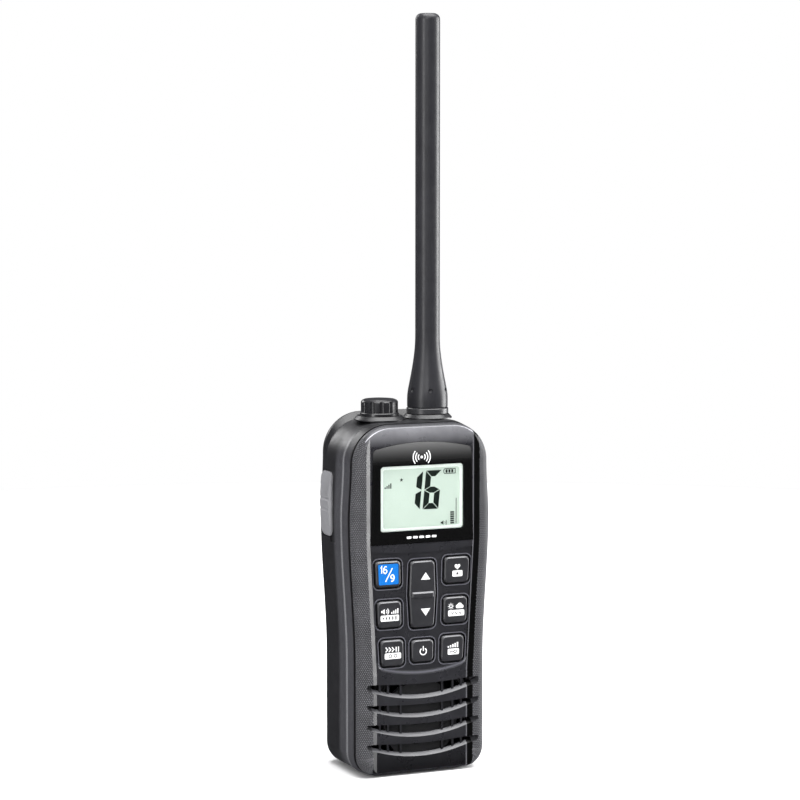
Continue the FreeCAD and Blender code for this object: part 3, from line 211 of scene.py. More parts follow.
def moulded(name, colour, rough, grain=0.25 * MM, depth=0.02 * MM, vary=0.15, specular=0.5, edge=None):
    """Moulded plastic or rubber: fine grain, mottled tone and worn, slightly shinier patches.

    With edge, the faces that look up or to the right take that paler colour, a painted highlight.
    """
    mat, tree, shader = new_material(name)
    darker = tuple(c * (1 - vary) for c in colour)
    lighter = tuple(c * (1 + vary) for c in colour)
    tone = spread(tree, noise(tree, MOTTLE, 4), 0, 1)
    mottled = blend_colours(tree, tone, darker, lighter)
    if edge:
        # painted highlight: faces that look up or to the right are tinted paler
        rim_highlight = combine(tree, "MAXIMUM", facing(tree, "Z", 0.3, 0.7), facing(tree, "X", 0.3, 0.7))
        mottled = tinted(tree, mottled, edge, rim_highlight)
    link(tree, mottled, shader.inputs["Base Color"])
    worn = spread(tree, noise(tree, WEAR, 5), rough - 0.05, rough + 0.05)
    link(tree, worn, shader.inputs["Roughness"])
    bump(tree, shader, noise(tree, grain, 2), depth)
    shader.inputs["Specular IOR Level"].default_value = specular
    return mat


def metal(name, colour, rough):
    """Plated or machined metal with fine streaks and a mottled shine."""
    mat, tree, shader = new_material(name)
    shader.inputs["Metallic"].default_value = 1.0
    tone = spread(tree, noise(tree, 3 * MM, 4), 0, 1)
    darker = tuple(c * 0.88 for c in colour)
    link(tree, blend_colours(tree, tone, darker, colour), shader.inputs["Base Color"])
    streaks = spread(tree, noise(tree, STREAK, 3), rough - 0.07, rough + 0.08)
    link(tree, streaks, shader.inputs["Roughness"])
    bump(tree, shader, noise(tree, STREAK, 2), 0.006 * MM, 0.5)
    return mat


def printed(name, colour, rough=0.5):
    """Pad-printed ink: faint mottling and a slightly uneven edge sheen."""
    mat, tree, shader = new_material(name)
    darker = tuple(c * 0.9 for c in colour)
    tone = spread(tree, noise(tree, 0.6 * MM, 3), 0, 1)
    link(tree, blend_colours(tree, tone, darker, colour), shader.inputs["Base Color"])
    sheen = spread(tree, noise(tree, 0.3 * MM, 2), rough - 0.06, rough + 0.06)
    link(tree, sheen, shader.inputs["Roughness"])
    return mat


def woven(name, colour, pitch):
    """Fine woven screen: crossed threads from two wave textures."""
    mat, tree, shader = new_material(name)
    heights = []
    for direction in ("X", "Z"):
        wave = tree.nodes.new("ShaderNodeTexWave")
        wave.bands_direction = direction
        wave.inputs["Scale"].default_value = 0.314 / pitch
        wave.inputs["Distortion"].default_value = 0.3
        link(tree, coordinates(tree), wave.inputs["Vector"])
        heights.append(wave.outputs["Fac"])
    crossed = combine(tree, "MULTIPLY", heights[0], heights[1])
    bright = tuple(c * 2.2 for c in colour)
    link(tree, blend_colours(tree, crossed, colour, bright), shader.inputs["Base Color"])
    bump(tree, shader, crossed, 0.1 * MM, 0.8)
    shader.inputs["Roughness"].default_value = 0.8
    return mat


def furthest_x(node, below, above=-1.0):
    """Largest x of a node between two heights."""
    return max(v.co.x for v in nodes[node].data.vertices if above < v.co.z < below)


def ridged_housing(name):
    """Black housing with two finely grained zones and a painted highlight, a pale line, along the ridge
    down its sides.
    """
    mat, tree, shader = new_material(name)
    tone = spread(tree, noise(tree, MOTTLE, 4), 0, 1)
    black = blend_colours(tree, tone, (0.0085, 0.0085, 0.0095), (0.012, 0.012, 0.0135))
    depth = axis(tree, coordinates(tree), "Y")
    height = height_fade(tree, case_top - 5 * MM, case_top - 20 * MM)
    front = spread(tree, depth, 0, 1, ZONE_FRONT, ZONE_FRONT + 0.6 * MM)
    back = spread(tree, depth, 1, 0, ZONE_BACK - 2.5 * MM, ZONE_BACK)
    specks = spread(tree, noise(tree, 0.5 * MM, 1), 0.55, 1.3)
    zone = combine(tree, "MULTIPLY", combine(tree, "MULTIPLY", front, back), height)
    colour = tinted(tree, black, (0.05, 0.05, 0.056), combine(tree, "MULTIPLY", zone, specks))
    rise = spread(tree, depth, 0, 1, RIDGE_Y - 1.1 * MM, RIDGE_Y - 0.3 * MM)
    fall = spread(tree, depth, 1, 0, RIDGE_Y + 0.2 * MM, RIDGE_Y + 1.4 * MM)
    ridge = combine(tree, "MULTIPLY", combine(tree, "MULTIPLY", rise, fall), height)
    # painted highlight: a pale line along the ridge between the zones
    colour = tinted(tree, colour, (0.20, 0.20, 0.21), combine(tree, "MULTIPLY", ridge, specks))
    link(tree, colour, shader.inputs["Base Color"])
    link(tree, spread(tree, noise(tree, WEAR, 5), 0.33, 0.42), shader.inputs["Roughness"])
    bump(tree, shader, noise(tree, 0.28 * MM, 2), 0.02 * MM)
    return mat


def bezel_plastic(name):
    """Semi-gloss bezel with painted light: a painted reflection makes its curved top paler, painted
    highlights make its key rims and the up-facing slot edges below the display paler, and painted shade
    makes it darker towards the bottom, on the up-facing faces of its top and on faces that look left.

    Along its right edge run a black strip of painted shade and, inside that, a thin pale line of painted
    highlight.
    """
    mat, tree, shader = new_material(name)
    top = height_fade(tree, lens_high_z - 1.5 * MM, high("face_bezel").z - 0.5 * MM)
    # painted shade: darker towards the bottom
    foot_shade = height_fade(tree, 3 * MM, 16 * MM)
    body = blend_colours(tree, foot_shade, (0.004, 0.004, 0.005), (0.016, 0.016, 0.019))
    # painted reflection: the curved top turns pale grey as if it mirrored the overhead light
    colour = tinted(tree, body, (0.22, 0.22, 0.235), top)
    # painted highlight: a thin depth slice behind the key fronts, the rims round the keys, is made paler
    rim_highlight = tree.nodes.new("ShaderNodeMath")
    rim_highlight.operation = "COMPARE"
    link(tree, axis(tree, coordinates(tree), "Y"), rim_highlight.inputs[0])
    rim_highlight.inputs[1].default_value = key_front + RIM_DEPTH
    rim_highlight.inputs[2].default_value = RIM_HALF
    rim_highlight_lift = tree.nodes.new("ShaderNodeMath")
    rim_highlight_lift.operation = "MULTIPLY_ADD"
    link(tree, rim_highlight.outputs["Value"], rim_highlight_lift.inputs[0])
    rim_highlight_lift.inputs[1].default_value = RIM_HIGHLIGHT_LIFT
    link(tree, spread(tree, noise(tree, MOTTLE, 4), 0.86, 1.14), rim_highlight_lift.inputs[2])
    shade = scaled_colour(tree, colour, rim_highlight_lift.outputs["Value"])
    flat = height_fade(tree, lens_low_z + 3 * MM, lens_low_z + 1 * MM)
    # painted highlight: faces below the display that look up are tinted paler
    upward_highlight = combine(tree, "MULTIPLY", facing(tree, "Z", 0.2, 0.7), flat)
    shade = tinted(tree, shade, (0.085, 0.085, 0.092), upward_highlight)
    # painted shade: faces on the top that look up are tinted darker
    crest_shade = combine(tree, "MULTIPLY", facing(tree, "Z", 0.4, 0.8), top)
    shade = tinted(tree, shade, (0.05, 0.05, 0.055), crest_shade)
    across = axis(tree, coordinates(tree), "X")
    narrow = furthest_x("face_bezel", 20 * MM)
    wide = furthest_x("face_bezel", 1.0, lens_low_z)
    level = axis(tree, coordinates(tree), "Z")
    edge = spread(tree, level, narrow, wide, lens_low_z - LEDGE_DROP, lens_low_z)
    inside = combine(tree, "SUBTRACT", across, edge)
    # painted shade: a black strip along the panel's right edge, with a thin painted highlight line inside
    # it
    shade_band = spread(tree, inside, 0, 1, -SHADE_BAND, -SHADE_BAND + 0.15 * MM)
    highlight_line = spread(tree, inside, 0, 1, -SHADE_BAND - 0.5 * MM, -SHADE_BAND - 0.3 * MM)
    # painted shade: faces that look left are tinted darker
    left = facing(tree, "X", -0.5, -0.8)
    shade = tinted(tree, shade, (0.10, 0.10, 0.11), highlight_line)
    shade = tinted(tree, shade, (0.0015, 0.0015, 0.0015), shade_band)
    shade = tinted(tree, shade, (0.004, 0.004, 0.004), left)
    link(tree, shade, shader.inputs["Base Color"])
    dull = combine(tree, "MAXIMUM", combine(tree, "MAXIMUM", shade_band, left), top)
    link(tree, spread(tree, dull, 0.5, 0.14, 0, 1), shader.inputs["Specular IOR Level"])
    link(tree, spread(tree, noise(tree, WEAR, 5), 0.25, 0.34), shader.inputs["Roughness"])
    bump(tree, shader, noise(tree, 0.22 * MM, 2), 0.005 * MM, 0.5)
    return mat


def lens_print_and_reflection(name):
    """Black gloss print with a painted reflection that turns it grey towards the arched top."""
    mat, tree, shader = new_material(name)
    # painted reflection: grey rising towards the top, as if the lens mirrored the overhead light
    reflection_fade = height_fade(tree, high("lcd_frame").z, lens_high_z)
    grey = blend_colours(tree, power(tree, reflection_fade, 2.0), (0.0025, 0.0025, 0.0025), (0.13, 0.13, 0.13))
    link(tree, grey, shader.inputs["Base Color"])
    link(tree, spread(tree, noise(tree, 2 * MM, 3), 0.06, 0.10), shader.inputs["Roughness"])
    bump(tree, shader, noise(tree, 3 * MM, 2), 0.002 * MM, 0.3)
    shader.inputs["Specular IOR Level"].default_value = 0.3
    return mat


def clear_window(name):
    """Display window: clear behind, with a gloss that grows towards grazing angles."""
    mat, tree, shader = new_material(name)
    glass = tree.nodes.new("ShaderNodeBsdfTransparent")
    glass.inputs["Color"].default_value = (0.94, 0.96, 0.95, 1)
    gloss = tree.nodes.new("ShaderNodeBsdfGlossy")
    gloss.inputs["Roughness"].default_value = 0.05
    edge = tree.nodes.new("ShaderNodeLayerWeight")
    edge.inputs["Blend"].default_value = 0.5
    steep = power(tree, edge.outputs["Facing"], 4.0)
    mix = tree.nodes.new("ShaderNodeMixShader")
    link(tree, spread(tree, steep, 0.008, 0.7, 0, 1), mix.inputs[0])
    link(tree, glass.outputs["BSDF"], mix.inputs[1])
    link(tree, gloss.outputs["BSDF"], mix.inputs[2])
    link(tree, mix.outputs["Shader"], tree.nodes["Material Output"].inputs["Surface"])
    tree.nodes.remove(shader)
    return mat


def display_face(name):
    """Reflective display: pale green-grey with a faint mottled backing and a fine grain."""
    mat, tree, shader = new_material(name)
    tone = spread(tree, noise(tree, 12 * MM, 2), 0, 1)
    colour = blend_colours(tree, tone, (0.53, 0.59, 0.535), (0.57, 0.63, 0.575))
    link(tree, colour, shader.inputs["Base Color"])
    # painted glow: a faint emission makes the reflective display look lit
    link(tree, colour, shader.inputs["Emission Color"])
    shader.inputs["Emission Strength"].default_value = 0.1
    link(tree, spread(tree, noise(tree, 0.2 * MM, 1), 0.35, 0.5), shader.inputs["Roughness"])
    bump(tree, shader, noise(tree, 0.15 * MM, 1), 0.01 * MM, 0.3)
    return mat


def circuit_board(name):
    """Green solder mask with paler lines under it."""
    mat, tree, shader = new_material(name)
    cells = tree.nodes.new("ShaderNodeTexBrick")
    cells.inputs["Scale"].default_value = 180.0
    cells.inputs["Color1"].default_value = (0.012, 0.09, 0.035, 1)
    cells.inputs["Color2"].default_value = (0.016, 0.11, 0.045, 1)
    cells.inputs["Mortar"].default_value = (0.03, 0.17, 0.07, 1)
    cells.inputs["Mortar Size"].default_value = 0.03
    link(tree, coordinates(tree), cells.inputs["Vector"])
    link(tree, cells.outputs["Color"], shader.inputs["Base Color"])
    bump(tree, shader, cells.outputs["Fac"], 0.03 * MM, 0.5)
    shader.inputs["Roughness"].default_value = 0.35
    return mat


materials = {
    "housing": moulded("housing_plastic", (0.011, 0.011, 0.0125), 0.36, 0.28 * MM, 0.03 * MM),
    "panel": bezel_plastic("bezel_plastic"),
    # the keys' pale edge colour is a painted highlight on faces that look up or right
    "key": moulded("key_plastic", (0.021, 0.021, 0.024), 0.36, 0.2 * MM, 0.008 * MM,
                   edge=(0.17, 0.17, 0.18)),
    "grip": moulded("grip_rubber", (0.036, 0.036, 0.040), 0.55, 0.18 * MM, 0.02 * MM, specular=0.35),
    "seal": moulded("seal_rubber", (0.006, 0.006, 0.006), 0.7, 0.3 * MM, 0.02 * MM, specular=0.25),
    "ptt": moulded("talk_button_rubber", (0.19, 0.19, 0.20), 0.5, 0.3 * MM, 0.02 * MM, 0.08),
    "antenna": moulded("antenna_rubber", (0.020, 0.020, 0.023), 0.36, 0.5 * MM, 0.01 * MM, specular=0.32),
    "cap": moulded("cap_rubber", (0.014, 0.014, 0.016), 0.30, 0.3 * MM, 0.012 * MM),
    "ferrule": moulded("ferrule_plastic", (0.035, 0.035, 0.038), 0.34, 0.4 * MM, 0.006 * MM, specular=0.4),
    "clip": moulded("clip_plastic", (0.012, 0.012, 0.013), 0.42, 0.3 * MM, 0.03 * MM),
    "lens": lens_print_and_reflection("lens_print_and_reflection"),
    "lcd_frame": moulded("display_frame_plastic", (0.92, 0.94, 0.91), 0.5, 0.3 * MM, 0.01 * MM, 0.04),
    "switch": moulded("switch_plastic", (0.02, 0.02, 0.02), 0.5),
    "key_blue": moulded("blue_plate", (0.0, 0.13, 0.47), 0.4, 0.3 * MM, 0.006 * MM, 0.05, specular=0.2),
    "diffuser": moulded("diffuser_plastic", (0.7, 0.72, 0.66), 0.4, 0.3 * MM, 0.01 * MM, 0.04),
    "cone": moulded("cone_paper", (0.012, 0.012, 0.013), 0.75, 0.35 * MM, 0.05 * MM),
    "cell": moulded("cell_sleeve", (0.05, 0.12, 0.20), 0.3, 0.5 * MM, 0.02 * MM),
    "screen": woven("dust_screen", (0.005, 0.005, 0.006), 0.35 * MM),
    "steel": metal("plated_steel", (0.55, 0.55, 0.57), 0.32),
    "magnet": metal("plated_magnet", (0.42, 0.42, 0.44), 0.35),
    "chassis": metal("cast_aluminium", (0.60, 0.60, 0.62), 0.45),
    "gold": metal("gold_contact", (0.83, 0.61, 0.24), 0.25),
    "connector_metal": metal("plated_brass", (0.75, 0.65, 0.42), 0.28),
    "lcd": display_face("display_face"),
    "board": circuit_board("circuit_board"),
}
dot_rubber = moulded("grip_dot_rubber", (0.11, 0.11, 0.118), 0.5, 0.18 * MM, 0.01 * MM, specular=0.4)
case_plastic = ridged_housing("ridged_housing")
own_materials = {
    "rear_case": case_plastic,
    "front_case": case_plastic,
    "microphone": materials["seal"],
    "indicator_lamp": moulded("lamp_smoke", (0.02, 0.02, 0.02), 0.2, 0.4 * MM, 0.004 * MM),
    "battery_pins": materials["gold"],
}
window_material = clear_window("lens_clear")
white_ink = printed("white_ink", (0.86, 0.86, 0.86))
dark_ink = printed("display_ink", (0.006, 0.012, 0.009), 0.4)
box_ink = printed("key_cut_ink", (0.03, 0.03, 0.034))


def dress_nodes():
    """Gives every CAD node the material of its slot, or its own where it has one."""
    for part in frame["record"]["subparts"]:
        node = nodes[part["node"]]
        material = own_materials.get(part["node"], materials[part["material_slot"]])
        for place in node.material_slots:
            place.material = material


# ---- mesh helpers ----
def add_object(name, mesh, material, body):
    """A visible piece that rides on a body and has a finish."""
    obj = bpy.data.objects.new(name, mesh)
    bpy.context.collection.objects.link(obj)
    mesh.materials.append(material)
    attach(obj, body)
    return obj


def finish_mesh(builder, name):
    """Turns a bmesh into a mesh whose faces all point outwards."""
    bmesh.ops.recalc_face_normals(builder, faces=builder.faces)
    mesh = bpy.data.meshes.new(name)
    builder.to_mesh(mesh)
    builder.free()
    return mesh


def extrude_outline(builder, points, y_front, y_back):
    """Closed solid from an (x, z) outline between two depths."""
    front = [builder.verts.new((x, y_front, z)) for x, z in points]
    back = [builder.verts.new((x, y_back, z)) for x, z in points]
    builder.faces.new(front)
    builder.faces.new(back[::-1])
    for i in range(len(points)):
        j = (i + 1) % len(points)
        builder.faces.new((front[j], front[i], back[i], back[j]))


def rounded_box(x, z, width, height, radius, steps=4):
    """Outline of a rounded rectangle about (x, z)."""
    points = []
    corners = ((1, 1, 0), (-1, 1, 90), (-1, -1, 180), (1, -1, 270))
    for sx, sz, start in corners:
        cx = x + sx * (width / 2 - radius)
        cz = z + sz * (height / 2 - radius)
        for i in range(steps + 1):
            angle = math.radians(start + 90 * i / steps)
            points.append((cx + radius * math.cos(angle), cz + radius * math.sin(angle)))
    return points


def stroke(builder, points, width, y_front, y_back, closed=False):
    """Flat ribbon along (x, z) points, as a closed solid with mitred joints."""
    count = len(points)
    left, right = [], []
    for i in range(count):
        if closed:
            before, after = points[i - 1], points[(i + 1) % count]
        else:
            before, after = points[max(i - 1, 0)], points[min(i + 1, count - 1)]
        here = Vector(points[i])
        a = here - Vector(before)
        b = Vector(after) - here
        a = a.normalized() if a.length > 0 else b.normalized()
        b = b.normalized() if b.length > 0 else a
        along = (a + b).normalized()
        normal = Vector((-along.y, along.x))
        reach = width / 2 / max(0.4, normal.dot(Vector((-a.y, a.x))))
        left.append(here + normal * reach)
        right.append(here - normal * reach)
    if not closed:
        extrude_outline(builder, [tuple(p) for p in left + right[::-1]], y_front, y_back)
        return
    loops = []
    for side in (left, right):
        for y in (y_front, y_back):
            loops.append([builder.verts.new((p.x, y, p.y)) for p in side])
    left_front, left_back, right_front, right_back = loops
    for i in range(count):
        j = (i + 1) % count
        builder.faces.new((left_front[i], left_front[j], right_front[j], right_front[i]))
        builder.faces.new((left_back[i], right_back[i], right_back[j], left_back[j]))
        builder.faces.new((left_front[i], left_back[i], left_back[j], left_front[j]))
        builder.faces.new((right_front[i], right_front[j], right_back[j], right_back[i]))


def arc(x, z, radius, start, end, steps=10):
    """Points on a circle from one angle to another, in degrees."""
    angles = [math.radians(start + (end - start) * i / steps) for i in range(steps + 1)]
    return [(x + radius * math.cos(angle), z + radius * math.sin(angle)) for angle in angles]


def bar(left, base, width, tall):
    """Outline of an upright rectangle."""
    return [(left, base), (left + width, base), (left + width, base + tall), (left, base + tall)]


def ring(builder, x, z, radius, width, y_front, y_back, steps=24):
    stroke(builder, arc(x, z, radius, 0, 360, steps)[:-1], width, y_front, y_back, closed=True)


def disc(builder, x, z, radius, y_front, y_back, steps=16):
    extrude_outline(builder, arc(x, z, radius, 0, 360, steps)[:-1], y_front, y_back)


def star(x, z, radius, points=5):
    outline = []
    for i in range(points * 2):
        r = radius if i % 2 == 0 else radius * 0.42
        angle = math.pi / 2 + math.pi * i / points
        outline.append((x + r * math.cos(angle), z + r * math.sin(angle)))
    return outline


# ---- legends on the keys ----
# Marks are measured in millimetres from the middle of their key or display.
INK = 0.03 * MM             # ink stands this proud of its face
LINE = 0.42 * MM            # width of a plain line
NUMERAL_LINE = 0.45 * MM
PILL_HEIGHT = 2.4 * MM
PILL_ROUND = 0.45 * MM


class Ink:
    """Collects flat marks printed on one face."""

    def __init__(self, y):
        self.light = bmesh.new()
        self.dark = bmesh.new()
        self.y = y

    def fill(self, points, dark=False):
        target = self.dark if dark else self.light
        front = self.y - (2 * INK if dark else INK)
        extrude_outline(target, points, front, self.y + INK)

    def line(self, points, width=LINE, dark=False, closed=False):
        target = self.dark if dark else self.light
        front = self.y - (2 * INK if dark else INK)
        stroke(target, points, width, front, self.y + INK, closed)

    def done(self, name, body, light=white_ink):
        if len(self.light.faces):
            add_object(name, finish_mesh(self.light, name), light, body)
        if len(self.dark.faces):
            cuts = name + "_cuts"
            add_object(cuts, finish_mesh(self.dark, cuts), box_ink, body)


NUMERAL_PATHS = {
    "1": [[(0.30, 0.78), (0.58, 1.0), (0.58, 0.0)]],
    "6": [[(0.86, 0.93), (0.50, 1.0), (0.18, 0.72), (0.08, 0.34), (0.26, 0.04), (0.60, 0.0), (0.88, 0.20),
           (0.84, 0.44), (0.56, 0.58), (0.24, 0.50)]],
    "9": [[(0.14, 0.07), (0.50, 0.0), (0.82, 0.28), (0.92, 0.66), (0.74, 0.96), (0.40, 1.0), (0.12, 0.80),
           (0.16, 0.56), (0.44, 0.42), (0.76, 0.50)]],
}


def smooth_path(points, steps=4):
    """Points along a Catmull-Rom curve through the given ones."""
    if len(points) < 4:
        return points
    padded = [points[0]] + list(points) + [points[-1]]
    out = []
    for i in range(1, len(padded) - 2):
        p0, p1, p2, p3 = (Vector(p) for p in padded[i - 1:i + 3])
        for k in range(steps):
            t = k / steps
            out.append(tuple(0.5 * ((2 * p1) + (p2 - p0) * t + (2 * p0 - 5 * p1 + 4 * p2 - p3) * t * t
                                    + (3 * p1 - p0 - 3 * p2 + p3) * t ** 3)))
    out.append(tuple(points[-1]))
    return out


def numeral(ink, digit, x, z, width, height):
    """A plain rounded numeral with its lower left corner at (x, z)."""
    for path in NUMERAL_PATHS[digit]:
        points = [(x + px * width, z + pz * height) for px, pz in path]
        ink.line(smooth_path(points), NUMERAL_LINE)


def key_centre(node):
    """Middle of a key's face, as (x, z)."""
    centre = middle(node)
    return centre.x, centre.z


def legend_sixteen():
    x, z = key_centre("key_sixteen_insert")
    y = low("key_sixteen_insert").y
    ink = Ink(y)
    numeral(ink, "1", x - 3.7 * MM, z + 0.5 * MM, 1.5 * MM, 2.7 * MM)
    numeral(ink, "6", x - 2.2 * MM, z + 0.5 * MM, 1.7 * MM, 2.7 * MM)
    ink.line([(x - 1.2 * MM, z - 2.9 * MM), (x + 1.7 * MM, z + 2.4 * MM)], 0.4 * MM)
    numeral(ink, "9", x + 0.9 * MM, z - 2.8 * MM, 1.7 * MM, 2.5 * MM)
    ink.done("legend_sixteen", "key_sixteen")


def pill(ink, x, z, width):
    """The filled box under a legend."""
    ink.fill(rounded_box(x, z, width, PILL_HEIGHT, PILL_ROUND))


def legend_volume():
    x, z = key_centre("key_volume")
    ink = Ink(key_front)
    u = MM
    top = z + 1.3 * u
    ink.fill([(x - 3.6 * u, top - 0.4 * u), (x - 3.0 * u, top - 0.4 * u), (x - 2.1 * u, top - 1.1 * u),
              (x - 2.1 * u, top + 1.1 * u), (x - 3.0 * u, top + 0.4 * u), (x - 3.6 * u, top + 0.4 * u)])
    for radius in (0.8, 1.5):
        ink.line(arc(x - 1.9 * u, top, radius * u, -48, 48), 0.34 * u)
    for i in range(4):
        tall = (0.7 + 0.45 * i) * u
        left = x + (0.7 + 0.85 * i) * u
        ink.fill(bar(left, top - 1.0 * u, 0.5 * u, tall))
    pill(ink, x + 0.1 * u, z - 1.4 * u, 7.9 * u)
    for i in range(5):
        tall = (0.7 + 0.22 * i) * u
        ink.fill(rounded_box(x + (-2.7 + 1.35 * i) * u, z - 1.4 * u, 0.55 * u, tall, 0.15 * u), True)
    ink.done("legend_volume", "key_volume")


def legend_scan():
    x, z = key_centre("key_scan")
    ink = Ink(key_front)
    u = MM
    top = z + 1.5 * u
    for i in range(3):
        left = x + (-2.9 + 1.35 * i) * u
        ink.line([(left, top - 0.95 * u), (left + 0.85 * u, top), (left, top + 0.95 * u)], 0.42 * u)
    ink.line([(x + 1.6 * u, top - 1.0 * u), (x + 1.6 * u, top + 1.0 * u)], 0.42 * u)
    ink.line([(x + 2.6 * u, top - 1.0 * u), (x + 2.6 * u, top + 1.0 * u)], 0.42 * u)
    pill(ink, x + 0.2 * u, z - 1.1 * u, 7.0 * u)
    for side in (-1, 1):
        ring_points = arc(x + (0.2 + 1.1 * side) * u, z - 1.1 * u, 0.6 * u, 0, 360, 16)[:-1]
        ink.line(ring_points, 0.3 * u, True, True)
    ink.done("legend_scan", "key_scan")


def legend_favourite():
    x, z = key_centre("key_favourite")
    ink = Ink(key_front)
    u = MM
    ink.fill(heart(x + 0.1 * u, z + 1.3 * u, 1.25 * u))
    pill(ink, x + 0.1 * u, z - 1.5 * u, 4.4 * u)
    ink.fill(star(x + 0.1 * u, z - 1.5 * u, 0.85 * u), True)
    ink.done("legend_favourite", "key_favourite")


def heart(x, z, size, steps=24):
    points = []
    for i in range(steps):
        t = 2 * math.pi * i / steps
        points.append((x + size * math.sin(t) ** 3,
                       z + size * (13 * math.cos(t) - 5 * math.cos(2 * t) - 2 * math.cos(3 * t)
                                   - math.cos(4 * t)) / 16))
    return points


def legend_channel():
    x, z = key_centre("key_channel")
    ink = Ink(key_front)
    u = MM
    top = z + 1.5 * u
    ring(ink.light, x - 2.1 * u, top, 0.62 * u, 0.3 * u, key_front - INK, key_front + INK, 16)
    for i in range(8):
        a = math.radians(45 * i)
        ink.line([(x - 2.1 * u + 0.95 * u * math.cos(a), top + 0.95 * u * math.sin(a)),
                  (x - 2.1 * u + 1.3 * u * math.cos(a), top + 1.3 * u * math.sin(a))], 0.24 * u)
    cloud = (arc(x + 0.75 * u, top - 0.25 * u, 0.72 * u, 120, 270, 8)
             + arc(x + 2.75 * u, top - 0.3 * u, 0.67 * u, -90, 60, 8)
             + arc(x + 1.75 * u, top + 0.25 * u, 0.95 * u, 20, 160, 8))
    ink.fill(cloud)
    pill(ink, x + 0.2 * u, z - 1.3 * u, 7.0 * u)
    for i in range(3):
        left = x + (-2.0 + 1.7 * i) * u
        wave = [(left, z - 0.9 * u), (left + 0.55 * u, z - 1.75 * u), (left + 1.1 * u, z - 0.9 * u)]
        ink.line(wave, 0.26 * u, True)
    ink.done("legend_channel", "key_channel")


def legend_lock():
    x, z = key_centre("key_lock")
    ink = Ink(key_front)
    u = MM
    top = z + 1.4 * u
    for i in range(5):
        tall = (0.6 + 0.35 * i) * u
        left = x + (-2.3 + 1.0 * i) * u
        ink.fill(bar(left, top - 1.0 * u, 0.6 * u, tall))
    pill(ink, x + 0.2 * u, z - 1.3 * u, 4.9 * u)
    ring(ink.dark, x + 0.95 * u, z - 1.3 * u, 0.55 * u, 0.28 * u, key_front - 2 * INK, key_front + INK, 16)
    ink.line([(x + 0.4 * u, z - 1.3 * u), (x - 1.5 * u, z - 1.3 * u)], 0.26 * u, True)
    ink.line([(x - 1.2 * u, z - 1.3 * u), (x - 1.2 * u, z - 1.8 * u)], 0.26 * u, True)
    ink.done("legend_lock", "key_lock")


def legend_power():
    x, z = key_centre("key_power")
    ink = Ink(key_front)
    ink.line(arc(x + 0.2 * MM, z - 0.25 * MM, 1.35 * MM, 125, 415, 20), 0.42 * MM)
    ink.line([(x + 0.2 * MM, z - 0.1 * MM), (x + 0.2 * MM, z + 1.9 * MM)], 0.42 * MM)
    ink.done("legend_power", "key_power")


def legend_rocker():
    x, z = key_centre("key_rocker")
    ink = Ink(key_front)
    for sign in (1, -1):
        tip = z + sign * 8.7 * MM
        base = z + sign * 5.8 * MM
        ink.fill([(x + 1.2 * MM, tip), (x - 0.85 * MM, base), (x + 3.2 * MM, base)])
    ink.done("legend_rocker", "key_rocker")


# ---- display ----
def seven_segments(x, z, width, height, thick, slant, lit):
    """Outlines of the lit segments of one slanted digit; (x, z) is its lower left corner."""
    gap = 0.07 * thick
    half = thick / 2
    mid = height / 2

    def lean(points):
        return [(x + px + slant * pz, z + pz) for px, pz in points]

    def upper(outer, inner):
        return [(outer, mid + gap), (outer, height - gap), (inner, height - thick - gap),
                (inner, mid + half + gap)]

    def lower(outer, inner):
        return [(outer, mid - gap), (inner, mid - half - gap), (inner, thick + gap), (outer, gap)]

    shapes = {
        "a": [(gap, height), (width - gap, height), (width - thick - gap, height - thick),
              (thick + gap, height - thick)],
        "d": [(gap, 0), (width - gap, 0), (width - thick - gap, thick), (thick + gap, thick)],
        "g": [(2 * gap, mid), (thick + gap, mid + half), (width - thick - gap, mid + half),
              (width - 2 * gap, mid), (width - thick - gap, mid - half), (thick + gap, mid - half)],
        "f": upper(0, thick), "b": upper(width, width - thick),
        "e": lower(0, thick), "c": lower(width, width - thick),
    }
    return [lean(shapes[name]) for name in lit]


